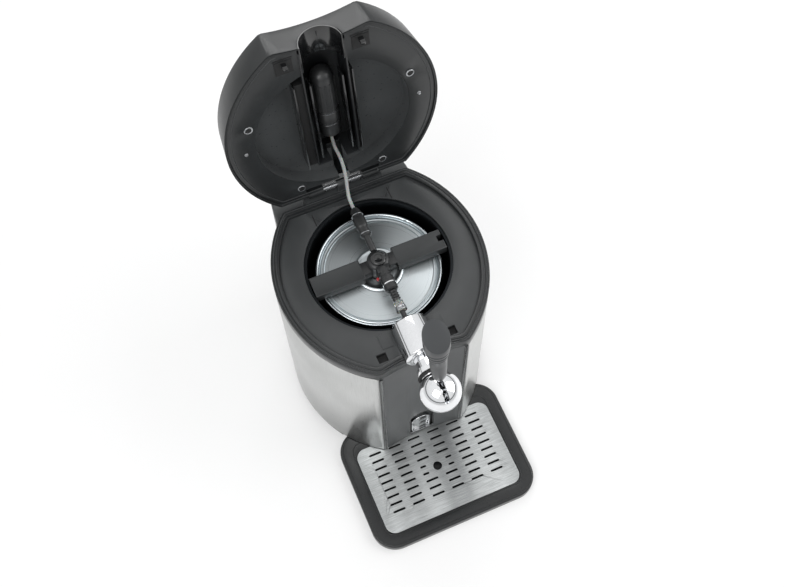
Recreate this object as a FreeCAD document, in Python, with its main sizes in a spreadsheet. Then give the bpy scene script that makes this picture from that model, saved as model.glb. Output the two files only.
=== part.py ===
import FreeCAD, Part
import Sketcher
import math
import os

V3 = FreeCAD.Vector

# Driving dimensions in millimetres: name, value, meaning
DIMENSIONS = [
    ("barrel_shift", 45.45, "barrel axis behind the origin of the part"),
    ("half_width", 140.0, "half the width of the barrel"),
    ("side_radius", 172.0, "radius of the bowed barrel sides"),
    ("front_reach", 144.3, "barrel axis to the front panel's side edges"),
    ("front_sag", 6.0, "hollow of the front panel in plan"),
    ("bevel_width", 6.5, "bevel strip beside the front panel"),
    ("rear_reach", 122.0, "barrel axis to the flat rear"),
    ("foot_height", 4.0, "height of the rubber feet"),
    ("foot_radius", 11.0, "radius of a rubber foot"),
    ("foot_across", 72.0, "feet from the centre line"),
    ("base_inset", 2.2, "plinth inside the barrel's outline"),
    ("base_cut", 97.0, "front edge of the plinth behind the tray"),
    ("base_wall", 3.0, "wall of the plinth"),
    ("barrel_bottom", 16.4, "lower edge of the barrel"),
    ("rim_bottom", 293.3, "lower edge of the top rim"),
    ("rim_top", 309.2, "upper face of the top rim"),
    ("rim_width", 11.0, "width of the top rim"),
    ("rim_wall", 3.0, "wall of the top rim"),
    ("rim_groove", 0.8, "depth and width of the rim's grooves"),
    ("deck_drop", 4.4, "deck below the rim"),
    ("deck_thickness", 3.0, "thickness of the deck"),
    ("opening_radius", 97.7, "radius of the keg opening"),
    ("keg_offset", 4.4, "keg axis behind the barrel axis"),
    ("skin_thickness", 1.0, "steel side skins"),
    ("shell_wall", 2.5, "wall of the inner barrel"),
    ("panel_thickness", 2.5, "thickness of the front panel"),
    ("panel_gap", 1.5, "front panel before the inner barrel"),
    ("well_radius", 94.0, "inner radius of the cooling well"),
    ("well_wall", 1.5, "wall of the cooling well"),
    ("well_floor", 36.0, "upper face of the well's floor"),
    ("well_flange", 7.0, "width of the well's flange"),
    ("foam_gap", 0.5, "play between foam and barrel"),
    ("keg_radius", 86.0, "radius of the five litre keg"),
    ("keg_wall", 1.0, "steel of the keg"),
    ("keg_bottom", 39.0, "foot of the keg"),
    ("keg_height", 250.0, "height of the keg"),
    ("chime_radius", 81.7, "radius of the keg's chimes"),
    ("chime_tube", 2.2, "half thickness of a chime"),
    ("chime_depth", 6.0, "keg top below its chime"),
    ("valve_radius", 15.0, "radius of the keg's valve seat"),
    ("tap_height", 310.0, "height of the tap's axis"),
    ("tap_radius", 23.5, "radius of the tap's barrel"),
    ("tap_wall", 2.5, "wall of the tap's barrel"),
    ("tap_rear", 92.0, "rear end of the tap's barrel"),
    ("tap_front", 143.0, "front end of the tap's barrel"),
    ("ball_reach", 193.0, "barrel axis to the tap ball's centre"),
    ("ball_radius", 26.5, "radius of the tap ball"),
    ("ball_cavity", 16.0, "radius of the hollow in the ball"),
    ("lever_width", 5.0, "diameter of the lever in the ball"),
    ("lever_play", 0.8, "play beside the lever"),
    ("lever_lean", 8.0, "lean of the closed lever to the rear, degrees"),
    ("lever_swing", 45.0, "swing of the lever to the front, degrees"),
    ("spout_radius", 8.0, "outer radius of the spout"),
    ("spout_bore", 5.5, "bore of the spout"),
    ("spout_end", 252.0, "lower end of the spout"),
    ("handle_radius", 16.5, "radius of the tap handle"),
    ("handle_length", 98.0, "length of the tap handle"),
    ("tray_half", 126.0, "half the width of the drip tray"),
    ("tray_front", 286.0, "barrel axis to the tray's front"),
    ("tray_rear", 99.0, "barrel axis to the tray's rear"),
    ("tray_height", 13.6, "height of the tray's rim"),
    ("tray_wall", 3.0, "wall of the tray"),
    ("tray_corner", 35.0, "radius of the tray's corners"),
    ("grille_half", 105.3, "half the width of the grille"),
    ("grille_front", 265.5, "barrel axis to the grille's front"),
    ("grille_rear", 130.8, "barrel axis to the grille's rear"),
    ("grille_thickness", 1.5, "steel of the grille"),
    ("grille_corner", 15.0, "radius of the grille's corners"),
    ("slot_length", 18.8, "length of a grille slot"),
    ("slot_width", 3.0, "width of a grille slot"),
    ("slot_pitch_across", 31.0, "pitch of the slot columns"),
    ("slot_pitch_deep", 11.4, "pitch of the slot rows"),
    ("drain_radius", 6.5, "radius of the round hole below the spout"),
    ("hinge_reach", 128.6, "barrel axis to the lid hinge"),
    ("hinge_height", 319.4, "height of the lid hinge"),
    ("pin_radius", 3.0, "radius of the hinge pin"),
    ("pin_play", 0.05, "radial play of pins in their holes"),
    ("lid_open", 97.06, "opening angle of the lid, degrees"),
    ("lid_gap", 0.5, "closed lid above the rim"),
    ("lid_height", 44.0, "height of the lid"),
    ("lid_wall", 3.0, "wall of the lid"),
    ("lid_draft", 6.0, "draft of the lid's walls, degrees"),
    ("dish_radius", 101.5, "radius of the dish in the lid"),
    ("dish_depth", 20.0, "depth of the dish in the lid"),
    ("liner_wall", 2.0, "wall of the lid's liner"),
    ("bay_half", 27.0, "half the width of the cartridge bay"),
    ("bay_depth", 40.0, "depth of the cartridge bay"),
    ("bay_front", 130.0, "front end of the cartridge bay"),
    ("bay_rear", 66.0, "rear end of the cartridge bay"),
    ("cartridge_radius", 10.9, "radius of the gas cartridge"),
    ("sleeve_radius", 12.9, "outer radius of the cartridge sleeve"),
    ("hose_radius", 2.4, "radius of the gas hose"),
    ("housing_half", 100.0, "half the width of the rear housing"),
    ("housing_reach", 178.0, "barrel axis to the rear of the housing"),
    ("housing_top", 285.0, "upper face of the rear housing"),
    ("housing_wall", 2.5, "wall of the rear housing"),
    ("fan_height", 160.0, "height of the fan's axis"),
    ("fan_size", 92.0, "side of the fan's frame"),
    ("fan_depth", 25.0, "depth of the fan's frame"),
    ("fan_bore", 42.0, "radius of the fan's duct"),
    ("hub_radius", 16.0, "radius of the fan's hub"),
    ("pod_half", 19.5, "half the width of the control recess"),
    ("pod_bottom", 22.0, "lower edge of the control recess"),
    ("pod_top", 94.0, "upper end of the control recess"),
    ("button_width", 9.0, "width of a button"),
    ("button_height", 6.0, "height of a button"),
    ("button_pitch", 17.0, "pitch of the buttons"),
    ("button_travel", 1.0, "travel of a button"),
    ("clearance", 0.4, "play between parts that move past each other"),
]


class Size:
    """A length that keeps its value and the sheet expression that gives it."""

    def __init__(self, value, text):
        self.value = float(value)
        self.text = text

    def _join(self, other, sign, result, swap=False):
        other = other if isinstance(other, Size) else Size(other, repr(float(other)))
        first, second = (other, self) if swap else (self, other)
        return Size(result(first.value, second.value), f"({first.text} {sign} {second.text})")

    def __add__(self, other):
        return self._join(other, "+", lambda a, b: a + b)

    def __radd__(self, other):
        return self._join(other, "+", lambda a, b: a + b, swap=True)

    def __sub__(self, other):
        return self._join(other, "-", lambda a, b: a - b)

    def __rsub__(self, other):
        return self._join(other, "-", lambda a, b: a - b, swap=True)

    def __mul__(self, other):
        return self._join(other, "*", lambda a, b: a * b)

    def __rmul__(self, other):
        return self._join(other, "*", lambda a, b: a * b, swap=True)

    def __truediv__(self, other):
        return self._join(other, "/", lambda a, b: a / b)

    def __neg__(self):
        return Size(-self.value, f"(0 - {self.text})")

    def __float__(self):
        return self.value


def size(number):
    """Wrap a plain number as a Size."""
    return number if isinstance(number, Size) else Size(number, repr(float(number)))


def root(number):
    """Square root of a Size."""
    return Size(math.sqrt(number.value), f"sqrt({number.text})")


doc = FreeCAD.newDocument("keg_dispenser")
sheet = doc.addObject("Spreadsheet::Sheet", "sizes")


class Sheet:
    """The spreadsheet's cells as named Sizes."""

    def __init__(self):
        for row, (name, value, meaning) in enumerate(DIMENSIONS, start=1):
            sheet.set(f"A{row}", meaning)
            sheet.set(f"B{row}", str(value))
            sheet.setAlias(f"B{row}", name)
            setattr(self, name, Size(value, f"sizes.{name}"))


d = Sheet()
doc.recompute()

PIECES = []


def bind(thing, path, amount):
    """Bind one property or constraint of an object to the sheet."""
    thing.setExpression(path, size(amount).text)


def place(thing, x=0, y=0, z=0):
    """Place a piece, with y counted from the barrel's axis."""
    where = [size(x), size(y) + d.barrel_shift, size(z)]
    thing.Placement = FreeCAD.Placement(V3(*[float(c) for c in where]), thing.Placement.Rotation)
    for axis, amount in zip("xyz", where):
        bind(thing, f"Placement.Base.{axis}", amount)


def piece(thing, label):
    """Register a finished piece under its own name."""
    thing.Label = label
    PIECES.append(thing)
    return thing


def new_body(label, x=0, y=0, z=0):
    """Start a body with its own name and place."""
    body = doc.addObject("PartDesign::Body", label)
    place(body, x, y, z)
    return piece(body, label)


def lid_body(label):
    """Start a body in the closed lid's own frame, whose origin lies on the hinge."""
    body = doc.addObject("PartDesign::Body", label)
    open_lid(body)
    return piece(body, label)


def open_lid(thing):
    """Turn a piece of the lid about the hinge to the open position."""
    thing.Placement.Rotation = FreeCAD.Rotation(V3(1, 0, 0), -float(d.lid_open))
    place(thing, 0, d.hinge_reach, d.hinge_height)
    bind(thing, "Placement.Rotation.Axis.x", 1)
    bind(thing, "Placement.Rotation.Axis.z", 0)
    bind(thing, "Placement.Rotation.Angle", -d.lid_open)


def new_sketch(body, plane="XY", offset=0):
    """Add a sketch on one of the body's own origin planes."""
    sketch = body.newObject("Sketcher::SketchObject", f"{body.Name}_sketch")
    role = f"{plane}_Plane"
    face = [f for f in body.Origin.OriginFeatures if f.Role == role][0]
    sketch.AttachmentSupport = (face, [""])
    sketch.MapMode = "FlatFace"
    sketch.AttachmentOffset = FreeCAD.Placement(V3(0, 0, float(size(offset))), FreeCAD.Rotation())
    bind(sketch, "AttachmentOffset.Base.z", offset)
    return sketch


def fix_point(sketch, geometry, end, x, y):
    """Hold one point of a sketch at sheet-bound coordinates."""
    for kind, amount in (("DistanceX", size(x)), ("DistanceY", size(y))):
        index = sketch.addConstraint(Sketcher.Constraint(kind, -1, 1, geometry, end, float(amount)))
        bind(sketch, f"Constraints[{index}]", amount)


def draw(sketch, outline):
    """Draw a closed outline of corners; an entry ("via", x, y) bows the side it lies on."""
    corners = [p for p in outline if p[0] != "via"]
    sides = []
    for number, corner in enumerate(outline):
        if corner[0] == "via":
            continue
        after = outline[(number + 1) % len(outline)]
        via = after[1:] if after[0] == "via" else None
        target = corners[(corners.index(corner) + 1) % len(corners)]
        sides.append((corner, via, target))
    ends = []
    for start, via, target in sides:
        a = V3(float(start[0]), float(start[1]), 0)
        b = V3(float(target[0]), float(target[1]), 0)
        if via is None:
            index = sketch.addGeometry(Part.LineSegment(a, b))
            ends.append((index, 1, 2))
            continue
        middle = V3(float(via[0]), float(via[1]), 0)
        index = sketch.addGeometry(Part.Arc(a, middle, b))
        forward = sketch.getPoint(index, 1).distanceToPoint(a) < sketch.getPoint(index, 2).distanceToPoint(a)
        ends.append((index, 1, 2) if forward else (index, 2, 1))
        mark = sketch.addGeometry(Part.Point(middle), True)
        sketch.addConstraint(Sketcher.Constraint("PointOnObject", mark, 1, index))
        fix_point(sketch, mark, 1, *via)
    for number, (start, _, _) in enumerate(sides):
        index, first, _ = ends[number]
        before, _, last = ends[number - 1]
        sketch.addConstraint(Sketcher.Constraint("Coincident", before, last, index, first))
        fix_point(sketch, index, first, *start)
    return sketch


def ring(sketch, radius, x=0, y=0):
    """Add a circle with a sheet-bound centre and radius."""
    centre = V3(float(size(x)), float(size(y)), 0)
    index = sketch.addGeometry(Part.Circle(centre, V3(0, 0, 1), float(size(radius))))
    fix_point(sketch, index, 3, x, y)
    bound = sketch.addConstraint(Sketcher.Constraint("Radius", index, float(size(radius))))
    bind(sketch, f"Constraints[{bound}]", radius)
    return sketch


def box_outline(x0, x1, y0, y1):
    """Corners of a rectangle."""
    return [(x0, y0), (x1, y0), (x1, y1), (x0, y1)]


def round_outline(x0, x1, y0, y1, r):
    """Rectangle with round corners."""
    bow = r * (1 - math.sqrt(0.5))
    return [(x0 + r, y0), (x1 - r, y0), ("via", x1 - bow, y0 + bow),
            (x1, y0 + r), (x1, y1 - r), ("via", x1 - bow, y1 - bow),
            (x1 - r, y1), (x0 + r, y1), ("via", x0 + bow, y1 - bow),
            (x0, y1 - r), (x0, y0 + r), ("via", x0 + bow, y0 + bow)]


def slot_outline(x, y, length, width):
    """Slot with round ends along x."""
    run = (length - width) / 2
    half = width / 2
    return [(x - run, y - half), (x + run, y - half), ("via", x + run + half, y),
            (x + run, y + half), (x - run, y + half), ("via", x - run - half, y)]


def side_x(inset, y):
    """Half width of the barrel's outline at a given y."""
    radius = d.side_radius - inset
    return root(radius * radius - y * y) - (d.side_radius - d.half_width)


def barrel_outline(inset, front=None, rear=None, back=0):
    """Plan of the barrel, set in all round; back moves it along y to another origin."""
    front = inset if front is None else front
    rear = inset if rear is None else rear
    inset, front, rear = size(inset), size(front), size(rear)
    y_rear = d.rear_reach - rear
    y_edge = d.front_reach - front
    y_bevel = y_edge - 1
    x_rear = side_x(inset, y_rear)
    x_bevel = side_x(inset, y_bevel)
    x_panel = x_bevel - d.bevel_width
    middle = d.front_reach - d.front_sag - front
    return [(-x_panel, -y_edge - back), ("via", size(0), -middle - back), (x_panel, -y_edge - back),
            (x_bevel, -y_bevel - back), ("via", d.half_width - inset, size(0) - back),
            (x_rear, y_rear - back), (-x_rear, y_rear - back),
            ("via", inset - d.half_width, size(0) - back), (-x_bevel, -y_bevel - back)]


def pad(body, sketch, length, taper=None):
    """Pad a sketch along its normal."""
    feature = body.newObject("PartDesign::Pad", f"{body.Name}_pad")
    feature.Profile = sketch
    feature.Length = float(size(length))
    bind(feature, "Length", length)
    if taper is not None:
        feature.TaperAngle = float(taper)
        bind(feature, "TaperAngle", taper)
    body.Tip = feature
    return feature


def pocket(body, sketch, length, upward=False):
    """Cut a sketch to a depth, away from its normal unless upward."""
    feature = body.newObject("PartDesign::Pocket", f"{body.Name}_pocket")
    feature.Profile = sketch
    feature.Length = float(size(length))
    bind(feature, "Length", length)
    feature.Reversed = upward
    body.Tip = feature
    return feature


def turn(body, sketch, kind="Revolution", axis="V_Axis"):
    """Revolve or groove a sketch about one of its own axes."""
    feature = body.newObject(f"PartDesign::{kind}", f"{body.Name}_turn")
    feature.Profile = sketch
    feature.ReferenceAxis = (sketch, [axis])
    feature.Angle = 360.0
    body.Tip = feature
    return feature


def soften(body, radius, choose):
    """Round the edges of the body that the choice accepts."""
    doc.recompute()
    base = body.Tip
    names = [f"Edge{n}" for n, e in enumerate(base.Shape.Edges, start=1) if choose(e)]
    feature = body.newObject("PartDesign::Fillet", f"{body.Name}_fillet")
    feature.Base = (base, names)
    feature.Radius = float(size(radius))
    bind(feature, "Radius", radius)
    body.Tip = feature
    return feature


def primitive(kind, name, x=0, y=0, z=0, **amounts):
    """Make a Part primitive with bound sizes."""
    thing = doc.addObject(f"Part::{kind}", name)
    for path, amount in amounts.items():
        setattr(thing, path, float(size(amount)))
        bind(thing, path, amount)
    place(thing, x, y, z)
    return thing


def boolean(kind, name, *things):
    """Cut, fuse or intersect primitives."""
    if kind == "Cut":
        result = doc.addObject("Part::Cut", name)
        result.Base, result.Tool = things
        return result
    result = doc.addObject("Part::MultiFuse" if kind == "Fuse" else "Part::MultiCommon", name)
    result.Shapes = list(things)
    return result


def free_form(label, shape, x=0, y=0, z=0):
    """A piece whose shape is set directly from the sheet's values."""
    thing = doc.addObject("Part::Feature", label)
    thing.Shape = shape
    place(thing, x, y, z)
    return piece(thing, label)


def make_feet():
    """Four rubber feet under the plinth."""
    body = new_body("rubber_feet")
    sketch = new_sketch(body)
    for x in (-d.foot_across, d.foot_across):
        for y in (-d.base_cut + 22, d.rear_reach - 28):
            ring(sketch, d.foot_radius, x, y)
    pad(body, sketch, d.foot_height)
    soften(body, 1.0, lambda e: e.BoundBox.ZMax < 0.1)


def plinth_outline(inset):
    """Plan of the plinth, cut straight where the tray slides in."""
    inset = size(inset)
    y_rear = d.rear_reach - inset
    y_cut = d.base_cut - inset
    x_rear = side_x(inset, y_rear)
    x_cut = side_x(inset, y_cut)
    return [(-x_cut, -y_cut), (x_cut, -y_cut), ("via", d.half_width - inset, size(0)),
            (x_rear, y_rear), (-x_rear, y_rear), ("via", inset - d.half_width, size(0))]


def make_plinth():
    """Hollow plinth with air slots and sockets for the tray's tongues."""
    body = new_body("base_plate")
    height = d.barrel_bottom - d.foot_height
    pad(body, draw(new_sketch(body, offset=d.foot_height), plinth_outline(d.base_inset)), height)
    inner = draw(new_sketch(body, offset=d.foot_height + d.base_wall), plinth_outline(d.base_inset + d.base_wall))
    pocket(body, inner, height, upward=True)
    slots = new_sketch(body, offset=d.foot_height)
    for row in range(7):
        draw(slots, slot_outline(size(0), size(20 + 10 * row), size(70), size(4)))
    pocket(body, slots, d.base_wall + 1, upward=True)
    sockets = new_sketch(body, "XZ", d.base_cut - d.base_inset + 1)
    for x in (-60, 60):
        draw(sockets, box_outline(size(x - 11), size(x + 11), size(7.6), size(12.4)))
    pocket(body, sockets, 8)


def make_barrel():
    """Moulded inner barrel with a floor."""
    body = new_body("barrel_shell")
    height = d.rim_bottom - d.barrel_bottom
    t = d.skin_thickness
    behind = d.panel_thickness + d.panel_gap
    outer = barrel_outline(t, front=behind, rear=0)
    pad(body, draw(new_sketch(body, offset=d.barrel_bottom), outer), height)
    hollow = barrel_outline(t + d.shell_wall, front=behind + d.shell_wall, rear=d.shell_wall)
    pocket(body, draw(new_sketch(body, offset=d.barrel_bottom + d.shell_wall), hollow), height, upward=True)
    window = new_sketch(body, "XZ", -d.rear_reach - 1)
    half = d.fan_size / 2 + 2
    draw(window, box_outline(-half, half, d.fan_height - half, d.fan_height + half))
    pocket(body, window, d.shell_wall + 2, upward=True)
    cut_cradle(body)


def cut_cradle(body):
    """Round seat for the tap's barrel."""
    sketch = ring(new_sketch(body, "XZ", d.front_reach + 5), d.tap_radius + 0.3, 0, d.tap_height)
    pocket(body, sketch, d.front_reach + 5 - d.tap_rear + 5)


def skin_outline(side):
    """Plan of one steel side skin."""
    y_front = d.front_reach - 1
    y_rear = d.rear_reach
    t = d.skin_thickness
    reach = d.half_width
    return [(side * side_x(size(0), y_front), -y_front), ("via", side * reach, size(0)),
            (side * side_x(size(0), y_rear), y_rear), (side * side_x(t, y_rear), y_rear),
            ("via", side * (reach - t), size(0)), (side * side_x(t, y_front), -y_front)]


def make_skins():
    """Two bowed sheets of stainless steel."""
    for name, side in (("side_skin_left", -1), ("side_skin_right", 1)):
        body = new_body(name)
        pad(body, draw(new_sketch(body, offset=d.barrel_bottom), skin_outline(side)), d.rim_bottom - d.barrel_bottom)


def pod_outline(inset):
    """Arch of the control recess."""
    inset = size(inset)
    half = d.pod_half - inset
    spring = d.pod_top - d.pod_half
    top = d.pod_top - inset
    bottom = d.pod_bottom + inset
    return [(-half, bottom), (half, bottom), (half, spring), ("via", size(0), top), (-half, spring)]


def make_panel():
    """Hollow-fronted panel with the arched control recess."""
    body = new_body("front_panel")
    t = d.panel_thickness
    x_edge = side_x(size(0), d.front_reach - 1)
    x_panel = x_edge - d.bevel_width
    x_edge = x_edge - d.skin_thickness * 1.9
    middle = d.front_reach - d.front_sag
    outline = [(-x_panel, -d.front_reach), ("via", size(0), -middle), (x_panel, -d.front_reach),
               (x_edge, 1 - d.front_reach), (x_edge - 1, t + 1 - d.front_reach),
               (x_panel, t - d.front_reach), ("via", size(0), t - middle), (-x_panel, t - d.front_reach),
               (1 - x_edge, t + 1 - d.front_reach), (-x_edge, 1 - d.front_reach)]
    pad(body, draw(new_sketch(body, offset=d.barrel_bottom), outline), d.rim_bottom - d.barrel_bottom)
    window = new_sketch(body, "XZ", d.front_reach + 1)
    draw(window, pod_outline(0))
    pocket(body, window, 12)
    cut_cradle(body)


def make_controls():
    """Bezel, chrome ring, display face and three buttons in the recess."""
    face = d.front_reach - d.front_sag
    back = face - d.panel_thickness
    bezel = new_body("control_bezel")
    sketch = new_sketch(bezel, "XZ", back)
    draw(sketch, pod_outline(0.1))
    draw(sketch, pod_outline(2))
    pad(bezel, sketch, d.panel_thickness)
    ring_body = new_body("control_ring")
    sketch = new_sketch(ring_body, "XZ", back)
    draw(sketch, pod_outline(2.1))
    draw(sketch, pod_outline(4.1))
    pad(ring_body, sketch, d.panel_thickness + 1)
    lens = new_body("control_face")
    pad(lens, draw(new_sketch(lens, "XZ", back), pod_outline(4.2)), 1.5)
    holes = new_sketch(lens, "XZ", back + 2)
    for number in range(3):
        z = d.pod_bottom + 9.5 + d.button_pitch * number
        half_w = d.button_width / 2 + d.clearance
        half_h = d.button_height / 2 + d.clearance
        draw(holes, box_outline(2.5 - half_w, 2.5 + half_w, z - half_h, z + half_h))
    pocket(lens, holes, 4)
    for number, name in enumerate(("button_down", "button_up", "button_power")):
        body = new_body(name)
        z = d.pod_bottom + 9.5 + d.button_pitch * number
        half_w = d.button_width / 2
        half_h = d.button_height / 2
        cap = new_sketch(body, "XZ", back + d.button_travel - 0.7)
        draw(cap, box_outline(2.5 - half_w, 2.5 + half_w, z - half_h, z + half_h))
        pad(body, cap, 2.2)


def make_rim():
    """Top rim with three grooves and a cradle for the tap."""
    body = new_body("top_rim")
    height = d.rim_top - d.rim_bottom
    pad(body, draw(new_sketch(body, offset=d.rim_bottom), barrel_outline(0)), height)
    pocket(body, draw(new_sketch(body, offset=d.rim_top), barrel_outline(d.rim_width)), height + 1)
    under = new_sketch(body, offset=d.rim_bottom)
    draw(under, barrel_outline(d.rim_wall))
    draw(under, barrel_outline(d.rim_width - 2))
    pocket(body, under, height - d.rim_wall, upward=True)
    for inset in (2.5, 5.5):
        groove = new_sketch(body, offset=d.rim_top)
        draw(groove, barrel_outline(inset))
        draw(groove, barrel_outline(d.rim_groove + inset))
        pocket(body, groove, d.rim_groove)
    cut_cradle(body)


def make_deck():
    """Recessed deck with the keg opening, latch sockets and tap cradle."""
    body = new_body("deck_plate")
    top = d.rim_top - d.deck_drop
    sketch = new_sketch(body, offset=top - d.deck_thickness)
    draw(sketch, barrel_outline(d.rim_width))
    ring(sketch, d.opening_radius, 0, d.keg_offset)
    pad(body, sketch, d.deck_thickness)
    sockets = new_sketch(body, offset=top + 1)
    for x in (-47.5, 47.5):
        draw(sockets, box_outline(size(x - 6.5), size(x + 6.5), size(-128), size(-116)))
    pocket(body, sockets, 20)
    cut_cradle(body)
    seams = new_sketch(body, offset=top)
    for side in (-1, 1):
        draw(seams, [(size(side * 46), size(93)), (size(side * 47), size(92.5)),
                     (size(side * 62), size(110.5)), (size(side * 61), size(111))])
    pocket(body, seams, 0.6)


def make_well():
    """Aluminium cooling well with a flange under the deck."""
    body = new_body("keg_well", 0, d.keg_offset)
    top = d.rim_top - d.deck_drop - d.deck_thickness
    out = d.well_radius + d.well_wall
    lip = out + d.well_flange
    low = d.well_floor - d.well_wall
    profile = [(size(0), low), (out, low), (out, top - d.well_wall), (lip, top - d.well_wall),
               (lip, top), (d.well_radius, top), (d.well_radius, d.well_floor), (size(0), d.well_floor)]
    turn(body, draw(new_sketch(body, "XZ"), profile))
    reach = d.front_reach + d.keg_offset + 5
    seat = ring(new_sketch(body, "XZ", reach), d.tap_radius + 0.3, 0, d.tap_height)
    pocket(body, seat, reach - d.tap_rear - d.keg_offset + 5)


def make_foam():
    """Insulation between the well and the barrel."""
    body = new_body("foam_insulation")
    t = d.skin_thickness + d.shell_wall + d.foam_gap
    front = d.panel_thickness + d.panel_gap + d.shell_wall + d.foam_gap
    low = d.barrel_bottom + d.shell_wall
    top = d.rim_top - d.deck_drop - d.deck_thickness - d.well_wall
    pad(body, draw(new_sketch(body, offset=low), barrel_outline(t, front=front, rear=d.shell_wall + 0.5)),
        top - 9 - low)
    hole = ring(new_sketch(body, offset=d.well_floor - d.well_wall), d.well_radius + d.well_wall, 0, d.keg_offset)
    pocket(body, hole, top, upward=True)
    window = new_sketch(body, "XZ", -d.rear_reach - 1)
    half = size(31)
    draw(window, box_outline(-half, half, d.fan_height - half, d.fan_height + half))
    pocket(body, window, 60, upward=True)
    wide = new_sketch(body, "XZ", -d.rear_reach - 1)
    half = d.fan_size / 2 + 2
    draw(wide, box_outline(-half, half, d.fan_height - half, d.fan_height + half))
    pocket(body, wide, d.rear_reach + 1 - d.keg_offset - d.well_radius - d.well_wall - 11, upward=True)
    cut_cradle(body)


def make_keg():
    """Five litre keg with chimes, and its valve."""
    body = new_body("keg_shell", 0, d.keg_offset)
    low = d.keg_bottom
    high = d.keg_bottom + d.keg_height
    chime = d.chime_radius
    tube = d.chime_tube
    wall = d.keg_wall
    side = d.keg_radius
    deep = d.chime_depth
    hole = d.valve_radius - 3
    outer = [(size(0), low + deep), (chime - tube, low + deep), (chime - tube, low + tube),
             ("via", chime, low), (chime + tube, low + tube), (side, low + 14), (side, high - 14),
             (chime + tube, high - tube), ("via", chime, high), (chime - tube, high - tube),
             (chime - tube - 1, high - deep), (hole + 12, high - deep + 1.5), (hole + 8, high - deep),
             (hole, high - deep), (hole, high - deep - wall), (hole + 8, high - deep - wall),
             (chime - tube - 2, high - deep - wall - 1), (side - wall, high - 15), (side - wall, low + 15),
             (chime - tube - 1, low + deep + wall), (size(0), low + deep + wall)]
    turn(body, draw(new_sketch(body, "XZ"), outer))
    valve = new_body("keg_valve", 0, d.keg_offset)
    rim = d.valve_radius
    seat = high - deep
    profile = [(size(4), seat - 12), (hole - 0.05, seat - 12), (hole - 0.05, seat), (rim, seat),
               (rim, seat + 3), (rim - 1, seat + 4), (rim - 3, seat + 4), (rim - 3, seat + 1),
               (size(4), seat + 1)]
    turn(valve, draw(new_sketch(valve, "XZ"), profile))
    pad_body = new_body("keg_pad", 0, d.keg_offset)
    sketch = new_sketch(pad_body, offset=d.well_floor)
    ring(sketch, d.keg_radius + 2)
    ring(sketch, d.keg_radius - 16)
    pad(pad_body, sketch, d.keg_bottom - d.well_floor)


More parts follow.
